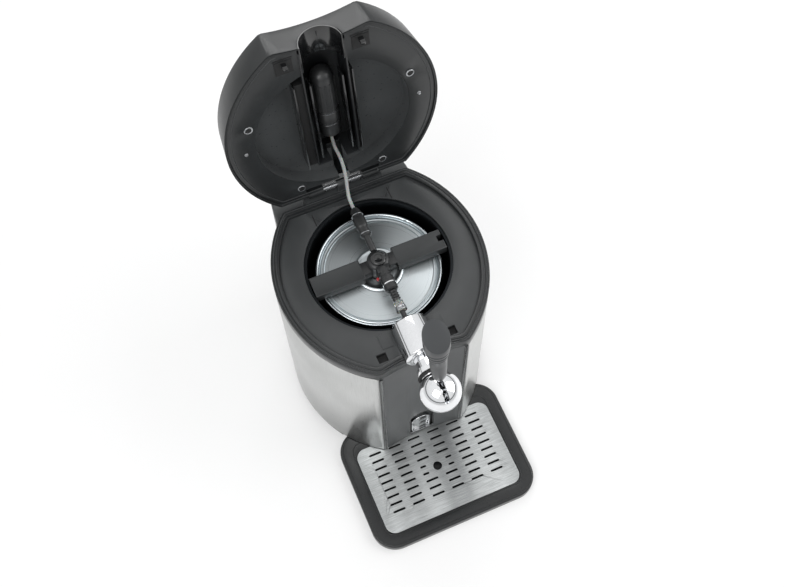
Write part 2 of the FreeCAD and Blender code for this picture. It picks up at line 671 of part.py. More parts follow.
def make_coupler():
    """Tapping head with its two arms, cap and fittings."""
    top = d.keg_bottom + d.keg_height
    hub = new_body("coupler_hub", 0, d.keg_offset)
    seat = top - d.chime_depth + 4
    profile = [(size(0), seat), (size(11), seat), (size(11), top - 1), (size(15), top + 1),
               (size(15), top + 22), (size(13), top + 24.5), (size(10.5), top + 25.5), (size(0), top + 25.5)]
    turn(hub, draw(new_sketch(hub, "XZ"), profile))
    for side in (-1, 1):
        collar = new_sketch(hub, "XY", top + 1)
        draw(collar, box_outline(size(side * 18 - 5), size(side * 18 + 5), size(-9), size(9)))
        pad(hub, collar, 13)
    front = new_sketch(hub, "XY", top + 2)
    draw(front, box_outline(size(-8.5), size(8.5), size(-21), size(-12)))
    pad(hub, front, 27)
    cap = new_body("coupler_cap", 0, d.keg_offset)
    profile = [(size(0), top + 25.5), (size(10.5), top + 25.5), (size(10.5), top + 28), (size(9), top + 29.5),
               (size(5.5), top + 29.5), (size(5), top + 28.6), (size(0), top + 28.6)]
    turn(cap, draw(new_sketch(cap, "XZ"), profile))
    for name, side in (("coupler_arm_left", -1), ("coupler_arm_right", 1)):
        arm = new_body(name, 0, d.keg_offset)
        reach = d.well_radius - 2
        low = top + 0.1
        x0, x1 = (-reach, size(-23)) if side < 0 else (size(23), reach)
        sketch = new_sketch(arm, "XY", low)
        draw(sketch, box_outline(x0, x1, size(-14), size(15)))
        pad(arm, sketch, 14)
        channel = new_sketch(arm, "XY", low + 14)
        draw(channel, box_outline(x0 + 3, x1 - 3, size(-6), size(7)))
        pocket(arm, channel, 10)
        if side > 0:
            notch = new_sketch(arm, "XY", low + 14)
            draw(notch, box_outline(reach - 9, reach + 1, size(3), size(16)))
            pocket(arm, notch, 20)
    spear = primitive("Cylinder", "spear_outer", 0, d.keg_offset, d.keg_bottom + 12, Radius=size(3.9),
                      Height=d.keg_height - 12 - d.chime_depth + 4)
    bore = primitive("Cylinder", "spear_bore", 0, d.keg_offset, d.keg_bottom + 11, Radius=size(2.8),
                     Height=d.keg_height - 12 - d.chime_depth + 4)
    piece(boolean("Cut", "spear", spear, bore), "spear_tube")
    axis = d.tap_height
    rear = new_body("gas_connector", 0, 0, axis)
    profile = [(size(0), size(-88)), (size(5), size(-88)), (size(7), size(-84)), (size(7), size(-74)),
               (size(8.5), size(-72)), (size(8.5), size(-58)), (size(7), size(-56)), (size(7), size(-44)),
               (size(4.5), size(-42)), (size(4.5), -d.keg_offset - 15), (size(0), -d.keg_offset - 15)]
    turn(rear, draw(new_sketch(rear, "XY"), [(x, -y) for x, y in profile]))
    clips = new_body("connector_clips", 0, 0, axis)
    for y in (48.0, 78.0):
        sketch = new_sketch(clips, "XZ", -y)
        ring(sketch, 8.2)
        ring(sketch, 7.0)
        pad(clips, sketch, 1.6)
    fitting = new_body("beer_fitting", 0, 0, axis)
    start = d.keg_offset - 21
    profile = [(size(0), start), (size(6), start), (size(6), start - 3), (size(7.5), start - 4),
               (size(7.5), start - 9), (size(6.5), start - 10), (size(6.5), start - 12),
               (size(4.5), start - 13), (size(4.5), start - 24), (size(0), start - 24)]
    turn(fitting, draw(new_sketch(fitting, "XY"), profile))
    tube = new_body("beer_tube", 0, 0, axis)
    profile = [(size(4.55), start - 14), (size(6.2), start - 14)]
    for rib in range(7):
        y = start - 16 - rib * 3.0
        profile += [(size(6.2), y), (size(5.6), y - 0.8), (size(5.6), y - 2.0), (size(6.2), y - 2.8)]
    profile += [(size(6.2), -d.tap_rear), (size(4.55), -d.tap_rear)]
    turn(tube, draw(new_sketch(tube, "XY"), profile))
    clip = new_body("hose_clip", 0, 0, axis)
    sketch = new_sketch(clip, "XZ", 68.0)
    ring(sketch, 7.4)
    ring(sketch, 6.2)
    pad(clip, sketch, 6)
    ears = new_sketch(clip, "XZ", 70.0)
    draw(ears, box_outline(size(-4), size(-2), size(6.2), size(9.5)))
    draw(ears, box_outline(size(2), size(4), size(6.2), size(9.5)))
    pad(clip, ears, 3)


def make_tap():
    """Tap barrel, stepped neck, ball, spout and lever."""
    barrel = new_body("tap_barrel", 0, 0, d.tap_height)
    r = d.tap_radius
    t = d.tap_wall
    profile = [(size(7), -d.tap_rear), (r - 2, -d.tap_rear), (r, -d.tap_rear - 2), (r, 2 - d.tap_front),
               (r - 1, 1 - d.tap_front), (r - 3, -d.tap_front), (size(14.2), -d.tap_front),
               (size(14.2), 3 - d.tap_front), (r - t, 3 - d.tap_front), (r - t, -d.tap_rear - t),
               (size(7), -d.tap_rear - t)]
    turn(barrel, draw(new_sketch(barrel, "XY"), profile))
    neck = new_body("tap_neck", 0, 0, d.tap_height)
    end = 6.5 - d.ball_reach + 14
    profile = [(size(0), 6 - d.tap_front), (size(14), 6 - d.tap_front), (size(14), size(-158)),
               (size(17.5), size(-159)), (size(17.5), size(-166)), (size(16), size(-167)),
               (size(16), end), (size(0), end)]
    turn(neck, draw(new_sketch(neck, "XY"), profile))
    scoop = new_sketch(neck, "XY")
    r = d.ball_radius
    centre = -d.ball_reach
    draw(scoop, [(size(0), centre - r), ("via", r, centre), (size(0), centre + r)])
    turn(neck, scoop, "Groove")
    washer = new_body("tap_washer", 0, 0, d.tap_height)
    sketch = new_sketch(washer, "XZ", 168.0)
    ring(sketch, 19.5)
    ring(sketch, 16)
    pad(washer, sketch, 3)
    ball = new_body("tap_ball", 0, -d.ball_reach, d.tap_height)
    turn(ball, draw(new_sketch(ball, "XZ"), [(size(0), -r), ("via", r, size(0)), (size(0), r)]))
    hollow = draw(new_sketch(ball, "XZ"), [(size(0), -d.ball_cavity), ("via", d.ball_cavity, size(0)),
                                            (size(0), d.ball_cavity)])
    turn(ball, hollow, "Groove")
    half = d.lever_width / 2 + d.lever_play
    wedge = new_sketch(ball, "YZ", -half)
    far = r * 1.3
    back = d.lever_lean + 14
    front = d.lever_swing + 14
    draw(wedge, [(size(0), size(0)), (sine(front) * -far, cosine(front) * far), ("via", size(0), far),
                 (sine(back) * far, cosine(back) * far)])
    pocket(ball, wedge, half * 2, upward=True)
    pivot = ring(new_sketch(ball, "YZ", -r - 1), d.pin_radius)
    pocket(ball, pivot, r * 2 + 2, upward=True)
    bore = ring(new_sketch(ball, "XY", -r - 1), d.spout_bore)
    pocket(ball, bore, 20, upward=True)
    pin = new_body("tap_pivot_pin", 0, -d.ball_reach, d.tap_height)
    pad(pin, ring(new_sketch(pin, "YZ", -r), d.pin_radius), r * 2)
    spout = new_body("tap_spout", 0, -d.ball_reach, d.tap_height)
    drop = d.tap_height - d.spout_end
    low = -root(r * r - d.spout_radius * d.spout_radius)
    high = -root(r * r - d.spout_bore * d.spout_bore)
    profile = [(d.spout_bore, high - 0.1), (d.spout_radius, low - 0.1), (d.spout_radius, -drop + 8),
               (d.spout_radius - 1, -drop), (d.spout_bore, -drop)]
    turn(spout, draw(new_sketch(spout, "XZ"), profile))
    make_lever()


def sine(degrees):
    """Sine of a Size in degrees."""
    return Size(math.sin(math.radians(float(degrees))), f"sin({degrees.text} * 1deg)")


def cosine(degrees):
    """Cosine of a Size in degrees."""
    return Size(math.cos(math.radians(float(degrees))), f"cos({degrees.text} * 1deg)")


def lean_back(body):
    """Lean a lever piece to the rear about the ball's centre."""
    body.Placement.Rotation = FreeCAD.Rotation(V3(1, 0, 0), -float(d.lever_lean))
    place(body, 0, -d.ball_reach, d.tap_height)
    bind(body, "Placement.Rotation.Axis.x", 1)
    bind(body, "Placement.Rotation.Axis.z", 0)
    bind(body, "Placement.Rotation.Angle", -d.lever_lean)


def make_lever():
    """Lever with its hub on the pivot, and the black handle."""
    stem = new_body("tap_lever")
    half = d.lever_width / 2
    pad(stem, ring(new_sketch(stem, "YZ", -half), size(8)), d.lever_width)
    pad(stem, ring(new_sketch(stem, "XY"), half - 0.05), d.ball_radius + 12)
    eye = ring(new_sketch(stem, "YZ", -half - 1), d.pin_radius + d.pin_play)
    pocket(stem, eye, d.lever_width + 2, upward=True)
    bead = new_sketch(stem, "XZ")
    z = d.ball_radius + 4.5
    draw(bead, [(size(0), z - 3.5), ("via", size(3.5), z), (size(0), z + 3.5)])
    turn(stem, bead)
    lean_back(stem)
    grip = new_body("tap_handle")
    low = d.ball_radius + 8
    top = low + d.handle_length
    r = d.handle_radius
    profile = [(half, low), (size(5.5), low), (size(7.5), low + 3), (size(12), low + 14),
               (r - 2, low + 26), (r - 0.8, top - 26), (r - 1.6, top - 25), (r - 1.6, top - 24),
               (r - 0.6, top - 23), (r - 0.6, top - 20), (r - 1.4, top - 19.5), (r - 1.4, top - 18.5),
               (r - 0.4, top - 18), (r, top - 15), (r, top - 2), (r - 2, top), (size(0), top),
               (size(0), d.ball_radius + 12), (half, d.ball_radius + 12)]
    turn(grip, draw(new_sketch(grip, "XZ"), profile))
    face = new_sketch(grip, "YZ", -r - 1)
    draw(face, [(-r - 2, top - 14), (r + 2, top + 3), (r + 2, top + 12), (-r - 2, top + 12)])
    pocket(grip, face, r * 2 + 2, upward=True)
    lean_back(grip)


def tray_outline(inset):
    """Plan of the drip tray."""
    inset = size(inset)
    return round_outline(inset - d.tray_half, d.tray_half - inset, inset - d.tray_front,
                         -d.tray_rear - inset, d.tray_corner - inset)


def grille_outline(inset):
    """Plan of the grille."""
    inset = size(inset)
    return round_outline(inset - d.grille_half, d.grille_half - inset, inset - d.grille_front,
                         -d.grille_rear - inset, d.grille_corner)


def make_tray():
    """Drip tray with a seat for the grille, and the slotted grille."""
    body = new_body("drip_tray")
    pad(body, draw(new_sketch(body), tray_outline(0)), d.tray_height)
    seat = draw(new_sketch(body, offset=d.tray_height + 1), grille_outline(-0.4))
    pocket(body, seat, d.grille_thickness + 1)
    basin = draw(new_sketch(body, offset=d.tray_height + 1), grille_outline(4))
    pocket(body, basin, d.tray_height - d.tray_wall + 1)
    soften(body, 3.0, lambda e: e.BoundBox.ZMin > float(d.tray_height) - 0.01 and
           e.BoundBox.YMax - e.BoundBox.YMin < 400 and on_outer_rim(e))
    for x in (-60, 60):
        tongue = new_sketch(body, "XY", 8)
        rear = -d.tray_rear
        draw(tongue, box_outline(size(x - 10), size(x + 10), rear - 3, rear + 9))
        pad(body, tongue, 4)
    make_grille()


def make_grille():
    """Slotted steel grille with the round drain hole."""
    grille = new_body("drip_grille")
    low = d.tray_height - d.grille_thickness
    sketch = draw(new_sketch(grille, offset=low), grille_outline(0))
    ring(sketch, d.drain_radius, 0, -d.ball_reach - 4)
    pad(grille, sketch, d.grille_thickness)
    for row in range(9):
        slots = new_sketch(grille, offset=d.tray_height + 1)
        y = -d.grille_rear - 14 - d.slot_pitch_deep * row
        for column in range(6):
            x = (column - 2.5) * d.slot_pitch_across
            length = d.slot_length
            if row in (4, 5) and column in (2, 3):
                length = d.slot_length / 2
                x = x + (column * 2 - 5) * length / 2
            draw(slots, slot_outline(x, y, length, d.slot_width))
        pocket(grille, slots, d.grille_thickness + 2)


def on_outer_rim(edge):
    """True for an edge on the tray's outer outline."""
    middle = edge.valueAt((edge.FirstParameter + edge.LastParameter) / 2)
    half, front, rear = float(d.tray_half), float(d.tray_front), float(d.tray_rear)
    centre = (front + rear) / 2
    near_side = abs(abs(middle.x) - half) < 11
    near_end = abs(abs(middle.y + centre) - (front - rear) / 2) < 11
    return near_side or near_end


def make_hinge():
    """Hinge bracket, pin and two coil springs."""
    body = new_body("hinge_bracket")
    top = d.rim_top
    low = d.housing_top + 0.2
    pad(body, draw(new_sketch(body, offset=low),
                   box_outline(size(-56), size(56), d.rear_reach, d.hinge_reach + 7)), top - low)
    ears = new_sketch(body, "YZ", -8)
    y = d.hinge_reach
    draw(ears, [(y - 6, top - 2), (y + 6, top - 2), (y + 6, d.hinge_height), ("via", y, d.hinge_height + 6),
                (y - 6, d.hinge_height)])
    pad(body, ears, 16)
    hole = ring(new_sketch(body, "YZ", -20), d.pin_radius, d.hinge_reach, d.hinge_height)
    pocket(body, hole, 40, upward=True)
    pin = new_body("hinge_pin")
    pad(pin, ring(new_sketch(pin, "YZ", -56), d.pin_radius, d.hinge_reach, d.hinge_height), 112)
    springs = [spring_solid(side) for side in (-1, 1)]
    free_form("hinge_springs", Part.makeCompound(springs), 0, d.hinge_reach, d.hinge_height)


def bend(start, start_way, end, end_way):
    """Two arcs that join two points along given directions."""
    across = end - start
    both = start_way + end_way
    spread = 2 * (1 - start_way.dot(end_way))
    along = across.dot(both)
    reach = (-along + math.sqrt(along * along + spread * across.dot(across))) / spread
    first = start + start_way * reach
    second = end - end_way * reach
    joint = (first + second) * 0.5
    return [arc_by_corner(start, first, joint), arc_by_corner(joint, second, end)]


def arc_by_corner(start, corner, end):
    """Arc that touches both legs of a corner."""
    weight = start.distanceToPoint(end) / (2 * start.distanceToPoint(corner))
    middle = (start + corner * (2 * weight) + end) * (1 / (2 * (1 + weight)))
    return Part.Arc(start, middle, end).toShape()


def spring_solid(side):
    """Torsion spring wound round the hinge pin."""
    radius = 3.95
    wire_radius = 0.6
    pitch = 1.9
    turns = 7
    start = side * 11.0
    points = []
    for half in range(turns * 2 + 1):
        angle = half * math.pi
        at = V3(start + side * pitch * half / 2, radius * math.cos(angle), radius * math.sin(angle))
        slope = side * pitch / (2 * math.pi)
        way = V3(slope, -radius * math.sin(angle), radius * math.cos(angle))
        points.append((at, way.normalize()))
    edges = []
    for (a, way_a), (b, way_b) in zip(points, points[1:]):
        edges += bend(a, way_a, b, way_b)
    path = Part.Wire(edges)
    profile = Part.Wire(Part.Circle(points[0][0], points[0][1], wire_radius).toShape())
    print("spring gap between turns", round(pitch - 2 * wire_radius, 2))
    return path.makePipeShell([profile], True, False)


def lid_plan(inset, front=None):
    """Barrel plan in the lid's frame."""
    return barrel_outline(inset, front=front, back=d.hinge_reach)


def make_lid():
    """Lid shell, liner with dish, cartridge bay and hinge lugs."""
    low = d.rim_top + d.lid_gap - d.hinge_height
    shell = lid_body("lid_shell")
    pad(shell, draw(new_sketch(shell, offset=low), lid_plan(0)), d.lid_height, taper=-d.lid_draft)
    soften(shell, 5.0, lambda e: e.BoundBox.ZMin > float(low + d.lid_height) - 0.01)
    hollow = draw(new_sketch(shell, offset=low), lid_plan(d.lid_wall))
    pocket(shell, hollow, d.lid_height - d.lid_wall, upward=True).TaperAngle = -float(d.lid_draft)
    bind(shell.Tip, "TaperAngle", -d.lid_draft)
    groove = new_sketch(shell, offset=low)
    draw(groove, lid_plan(1.0))
    draw(groove, lid_plan(1.8))
    pocket(shell, groove, 0.8, upward=True)
    arch = ring(new_sketch(shell, "XZ", d.hinge_reach + d.front_reach + 8), d.bay_half, 0, d.tap_height - d.hinge_height)
    pocket(shell, arch, 30)
    notch = new_sketch(shell, "XY", low - 1)
    draw(notch, box_outline(size(-50), size(50), -d.hinge_reach + d.rear_reach - 12, size(20)))
    pocket(shell, notch, 22, upward=True)
    lugs = new_sketch(shell, "YZ", -50)
    draw(lugs, [(size(-12), size(18)), (size(-10), size(-5)), (size(-5), size(-5)), ("via", size(6), size(0)),
                (size(0), size(6)), (size(-6), size(18))])
    pad(shell, lugs, 100)
    gap = new_sketch(shell, "YZ", -28)
    draw(gap, box_outline(size(-11), size(7), size(-8), size(12)))
    pocket(shell, gap, 56, upward=True)
    hole = ring(new_sketch(shell, "YZ", -60), d.pin_radius + d.pin_play)
    pocket(shell, hole, 120, upward=True)
    make_liner(low)


# Axis of the cartridge above the liner plate
CARTRIDGE_RISE = 23.0
# Screws of the liner, from the barrel axis
LID_SCREWS = [(-105, -38), (105, -38), (-57, 101), (57, 101)]


def make_liner(low):
    """Liner plate with its round dish."""
    body = lid_body("lid_liner")
    plate = low + 1.5
    t = d.liner_wall
    centre = d.keg_offset - 2 - d.hinge_reach
    pad(body, draw(new_sketch(body, offset=plate), lid_plan(d.lid_wall + 0.4)), t)
    pad(body, ring(new_sketch(body, offset=plate), d.dish_radius + t, 0, centre), d.dish_depth + t)
    pocket(body, ring(new_sketch(body, offset=plate - 1), d.dish_radius, 0, centre), d.dish_depth + 1, upward=True)
    half = d.bay_half
    y0 = -d.bay_front - d.hinge_reach
    y1 = d.bay_rear - d.hinge_reach
    opening = new_sketch(body, offset=plate - 1)
    draw(opening, box_outline(-half - t, half + t, y0 - 20, y1 + t))
    pocket(body, opening, d.dish_depth + 10, upward=True)
    notch = new_sketch(body, offset=plate - 1)
    draw(notch, box_outline(size(-52), size(52), -d.hinge_reach + d.rear_reach - 14, size(0)))
    pocket(body, notch, d.dish_depth + 10, upward=True)
    hose_slot = new_sketch(body, offset=plate - 1)
    draw(hose_slot, box_outline(size(-4), size(10), y1 - 1, size(-18)))
    pocket(body, hose_slot, d.dish_depth + 10, upward=True)
    for x, y in LID_SCREWS:
        pocket(body, ring(new_sketch(body, offset=plate - 1), 3.1, x, y - d.hinge_reach), 6, upward=True)
    bay = lid_body("cartridge_bay")
    pad(bay, draw(new_sketch(bay, offset=plate - 1), box_outline(-half - t, half + t, y0, y1 + t)), d.bay_depth)
    inner = new_sketch(bay, offset=plate - 2)
    draw(inner, box_outline(-half, half, y0 + t, y1))
    pocket(bay, inner, d.bay_depth + 1 - t, upward=True)
    front = ring(new_sketch(bay, "XZ", d.hinge_reach + d.bay_front + 5), d.bay_half + 0.1, 0,
                 d.tap_height - d.hinge_height)
    pocket(bay, front, 12)
    outlet = new_sketch(bay, "XZ", -y1 + 5)
    draw(outlet, box_outline(size(-10), size(10), plate - 2, plate + CARTRIDGE_RISE + 4))
    pocket(bay, outlet, 12)
    arch = lid_body("arch_liner")
    sketch = new_sketch(arch, "XZ", d.hinge_reach + d.bay_front - 30)
    r = d.bay_half - 0.1
    z = d.tap_height - d.hinge_height
    s = r - 1.7
    draw(sketch, [(r, z + 0.2), ("via", size(0), z + r), (-r, z + 0.2), (-s, z + 0.2), ("via", size(0), z + s),
                  (s, z + 0.2)])
    pad(arch, sketch, 30 + d.front_reach - d.bay_front - d.front_sag - 0.5)
    make_cartridge(plate)
    make_catches(plate)


def make_cartridge(plate):
    """Gas cartridge in its ribbed sleeve, with the regulator."""
    z = plate + CARTRIDGE_RISE
    h = d.hinge_reach
    sleeve = lid_body("cartridge_sleeve")
    r = d.sleeve_radius
    dome = -76 - h
    ringed = [(size(0), dome), (r * 0.6, dome + 2), (r * 0.9, dome + 7), (r, dome + 14)]
    for rib in range(5):
        y = dome + 18 + rib * 8
        ringed += [(r, y), (r - 0.9, y + 0.8), (r - 0.9, y + 2.2), (r, y + 3)]
    ringed += [(r, dome + 60), (r + 0.9, dome + 61), (r + 0.9, dome + 66), (r - 1.8, dome + 66),
               (r - 1.8, dome + 14), (size(6), dome + 3), (size(0), dome + 3)]
    sketch = new_sketch(sleeve, "XY", z)
    turn_on_lid(sleeve, sketch, ringed)
    gas = lid_body("gas_cartridge")
    c = d.cartridge_radius
    start = dome + 5
    bottle = [(size(0), start), (size(4), start), (c, start + 9), (c, start + 64), (c - 3, start + 72),
              (size(4.2), start + 78), (size(4.2), start + 84), (size(0), start + 84)]
    turn_on_lid(gas, new_sketch(gas, "XY", z), bottle)
    regulator = lid_body("gas_regulator")
    y = dome + 66.1
    cup = [(size(11.5), y), (size(13.8), y), (size(13.8), y + 26), (size(12), y + 32), (size(12), y + 44),
           (size(9), y + 48), (size(4), y + 50), (size(4), y + 56), (size(0), y + 56), (size(0), y + 30),
           (size(4.3), y + 30), (size(4.3), y + 20), (size(11.5), y + 14)]
    turn_on_lid(regulator, new_sketch(regulator, "XY", z), cup)
    saddle = lid_body("regulator_saddle")
    base = new_sketch(saddle, "XZ", -y - 10)
    ceiling = plate - 1 + d.bay_depth - d.liner_wall
    draw(base, box_outline(size(-17), size(17), z + 2, ceiling))
    pad(saddle, base, 9.8)
    seat = ring(new_sketch(saddle, "XZ", -y + 5), 13.9, 0, z)
    pocket(saddle, seat, 40)


def turn_on_lid(body, sketch, profile):
    """Revolve a lid piece about the sketch's own vertical axis."""
    return turn(body, draw(sketch, profile))


def make_catches(plate):
    """Two hooks that catch the deck, the lid's gasket and its screws."""
    h = d.hinge_reach
    hooks = lid_body("lid_hooks")
    for x in (-47.5, 47.5):
        sketch = new_sketch(hooks, "YZ", x - 3)
        y = -122 - h
        draw(sketch, [(y - 3, plate), (y - 3, plate - 7), (y - 5, plate - 8.5), (y - 3, plate - 11),
                      (y + 1, plate - 11), (y + 1, plate)])
        pad(hooks, sketch, 6)
    screws = lid_body("lid_screws")
    heads = new_sketch(screws, "XY", plate - 0.9)
    shanks = new_sketch(screws, "XY", plate - 0.9)
    for x, y in LID_SCREWS:
        ring(heads, 4.6, x, y - h)
        ring(shanks, 3, x, y - h)
    pad(screws, heads, 0.9)
    pad(screws, shanks, 7)


def make_rear():
    """Cold block, cooler, heat sink, fan and rear housing."""
    well_back = d.keg_offset + d.well_radius + d.well_wall
    z = d.fan_height
    block = new_body("cold_block")
    thick = 14
    sketch = new_sketch(block, "XY", z - 25)
    y1 = well_back + thick - 2
    draw(sketch, box_outline(size(-25), size(25), well_back - 8, y1))
    pad(block, sketch, 50)
    curve = ring(new_sketch(block, "XY", z - 30), d.well_radius + d.well_wall, 0, d.keg_offset)
    pocket(block, curve, 60, upward=True)
    cooler = new_body("peltier_module")
    sketch = new_sketch(cooler, "XZ", -y1)
    draw(sketch, box_outline(size(-20), size(20), z - 20, z + 20))
    pad(cooler, sketch, -3.8)
    sink = new_body("heat_sink")
    y2 = y1 + 3.8
    half = d.fan_size / 2
    sketch = new_sketch(sink, "XY", z - half)
    draw(sketch, box_outline(-half, half, y2, y2 + 5))
    pad(sink, sketch, half * 2)
    fins = 16
    fin_sketch = new_sketch(sink, "XY", z - half)
    draw(fin_sketch, box_outline(-half, 1.6 - half, y2 + 4, y2 + 26))
    fin = pad(sink, fin_sketch, half * 2)
    row = sink.newObject("PartDesign::LinearPattern", "fins")
    row.Originals = [fin]
    row.Direction = (fin_sketch, ["H_Axis"])
    row.Length = float(half * 2 - 1.6)
    bind(row, "Length", half * 2 - 1.6)
    row.Occurrences = fins
    sink.Tip = row
    make_fan(y2 + 26.3)
    make_housing()


def make_fan(front):
    """Axial fan: frame with duct and bearing arms, and a bladed rotor."""
    half = d.fan_size / 2
    frame = new_body("fan_frame", 0, front, d.fan_height)
    sketch = new_sketch(frame, "XZ", -d.fan_depth)
    draw(sketch, round_outline(-half, half, -half, half, size(5)))
    ring(sketch, d.fan_bore)
    pad(frame, sketch, d.fan_depth)
    arms = new_sketch(frame, "XZ", -d.fan_depth)
    ring(arms, d.hub_radius)
    pad(frame, arms, 3)
    for angle in (45, 135, 225, 315):
        spoke = new_sketch(frame, "XZ", -d.fan_depth)
        c, s = math.cos(math.radians(angle)), math.sin(math.radians(angle))
        a, b, w = float(d.hub_radius) - 2, float(d.fan_bore) + 1, 2.5
        draw(spoke, [(size(c * a - s * w), size(s * a + c * w)), (size(c * a + s * w), size(s * a - c * w)),
                     (size(c * b + s * w), size(s * b - c * w)), (size(c * b - s * w), size(s * b + c * w))])
        pad(frame, spoke, 3)
    shaft_hole = ring(new_sketch(frame, "XZ", -d.fan_depth - 1), size(2.05))
    pocket(frame, shaft_hole, 8, upward=True)
    rotor = new_body("fan_rotor", 0, front, d.fan_height)
    hub = ring(new_sketch(rotor, "XZ", -d.fan_depth + 4), d.hub_radius)
    pad(rotor, hub, d.fan_depth - 7)
    shaft = ring(new_sketch(rotor, "XZ", -d.fan_depth + 0.5), size(2))
    pad(rotor, shaft, 5)
    root_sketch = new_sketch(rotor, "YZ", d.hub_radius - 2)
    depth = d.fan_depth
    draw(root_sketch, [(size(4), size(-7)), (size(5.5), size(-7)), (depth - 5, size(6)), (depth - 6.5, size(6))])
    tip_sketch = new_sketch(rotor, "YZ", d.fan_bore - 4.2)
    draw(tip_sketch, [(size(8), size(-15)), (size(9.5), size(-15)), (depth - 8, size(12)), (depth - 9.5, size(12))])
    blade = rotor.newObject("PartDesign::AdditiveLoft", "blade")
    blade.Profile = root_sketch
    blade.Sections = [tip_sketch]
    blade.Ruled = True
    rotor.Tip = blade
    doc.recompute()
    wheel = rotor.newObject("PartDesign::PolarPattern", "blades")
    wheel.Originals = [blade]
    wheel.Axis = (hub, ["N_Axis"])
    wheel.Angle = 360
    wheel.Occurrences = 7
    rotor.Tip = wheel


def make_housing():
    """Rear housing with its grille, and the power inlet."""
    body = new_body("rear_housing")
    half = d.housing_half
    y0 = d.rear_reach + 0.1
    y1 = d.housing_reach
    low = d.foot_height + 2
    plan = [(-half, y0), (half, y0), (half - 4, y1 - 22), ("via", half - 11, y1 - 7), (half - 26, y1),
            (26 - half, y1), ("via", 11 - half, y1 - 7), (4 - half, y1 - 22)]
    pad(body, draw(new_sketch(body, offset=low), plan), d.housing_top - low)
    t = d.housing_wall
    soften(body, 4.0, lambda e: e.BoundBox.ZMin > float(d.housing_top) - 0.01 and e.BoundBox.YMax > float(y0) + 1)
    inner = [(t - half, y0 - 1), (half - t, y0 - 1), (half - 4 - t, y1 - 22), ("via", half - 11 - t, y1 - 7 - t * 0.7),
             (half - 26, y1 - t), (26 - half, y1 - t), ("via", 11 - half + t, y1 - 7 - t * 0.7), (4 - half + t, y1 - 22)]
    pocket(body, draw(new_sketch(body, offset=low + t), inner), d.housing_top - low - 2 * t, upward=True)
    slots = new_sketch(body, "XZ", -y1 - 1)
    for row in range(9):
        z = d.fan_height + (row - 4) * 9
        draw(slots, slot_outline(size(0), z, size(80), size(4)))
    pocket(body, slots, t + 3, upward=True)
    socket = new_sketch(body, "XZ", -y1 - 1)
    draw(socket, box_outline(size(50), size(70), size(30), size(44)))
    pocket(body, socket, t + 3, upward=True)
    inlet = new_body("power_inlet")
    shape = new_sketch(inlet, "XZ", -y1 - 0.8)
    draw(shape, box_outline(size(50.2), size(69.8), size(30.2), size(43.8)))
    pad(inlet, shape, 16)
    mouth = new_sketch(inlet, "XZ", -y1 - 2)
    draw(mouth, box_outline(size(53), size(67), size(33), size(41)))
    pocket(inlet, mouth, 10, upward=True)


# Gas hose from the regulator's outlet, past the hinge, to the coupler's inlet
HOSE_ROUTE = [
    V3(0, 153.4, 399.2),
    V3(0, 150.6, 379.3),
    V3(5, 139, 360),
    V3(5, 126, 341),
    V3(2, 115, 325),
    V3(0, 107, 315.5),
    V3(0, 99.2, 310),
    V3(0, 88.2, 310),
]


def tube_path(points):
    """Straight runs joined by tangent arcs; prints the radii."""
    edges = []
    at = points[0]
    radii = []
    for before, corner, after in zip(points, points[1:], points[2:]):
        into = corner - before
        out = after - corner
        reach = 0.45 * min(into.Length, out.Length)
        half_turn = into.getAngle(out) / 2
        radii.append(round(reach / math.tan(half_turn), 1))
        start = corner - into.normalize() * reach
        end = corner + out.normalize() * reach
        edges.append(Part.LineSegment(at, start).toShape())
        edges.append(arc_by_corner(start, corner, end))
        at = end
    edges.append(Part.LineSegment(at, points[-1]).toShape())
    print("hose bend radii", radii)
    return Part.Wire(edges)


def make_hose():
    """Gas hose with its real length, as a tube along straight runs and arcs."""
    path = tube_path(HOSE_ROUTE)
    radius = float(d.hose_radius)
    way = (HOSE_ROUTE[1] - HOSE_ROUTE[0]).normalize()
    profile = Part.Wire(Part.Circle(HOSE_ROUTE[0], way, radius).toShape())
    solid = path.makePipeShell([profile], True, False)
    print("hose volume", round(solid.Volume), "section times length", round(math.pi * radius ** 2 * path.Length))
    free_form("gas_hose", solid)


def check_and_export():
    """Recompute, test every object and write each piece."""
    doc.recompute()
    for thing in doc.Objects:
        if "Invalid" in thing.State or "Error" in thing.State:
            raise RuntimeError(f"{thing.Name} failed: {thing.State}")
    os.makedirs("parts", exist_ok=True)
    for thing in PIECES:
        shape = thing.Shape
        if shape.isNull() or not shape.isValid():
            raise RuntimeError(f"{thing.Label} has no valid shape")
        shape.exportStep(f"parts/{thing.Label}.step")
        print(thing.Label, len(shape.Solids), round(shape.Volume))


if __name__ == "__main__":
    make_feet()
    make_plinth()
    make_barrel()
    make_skins()
    make_panel()
    make_controls()
    make_rim()
    make_deck()
    make_well()
    make_foam()
    make_keg()
    make_coupler()
    make_tap()
    make_tray()
    make_hinge()
    make_lid()
    make_rear()
    make_hose()
    check_and_export()
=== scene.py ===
"""Looks of a mini keg beer dispenser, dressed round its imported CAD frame."""

import logging
import math
from collections.abc import Callable
from dataclasses import dataclass, field
from enum import Enum

import bpy
from mathutils import Matrix, Vector
from mathutils.geometry import convex_hull_2d


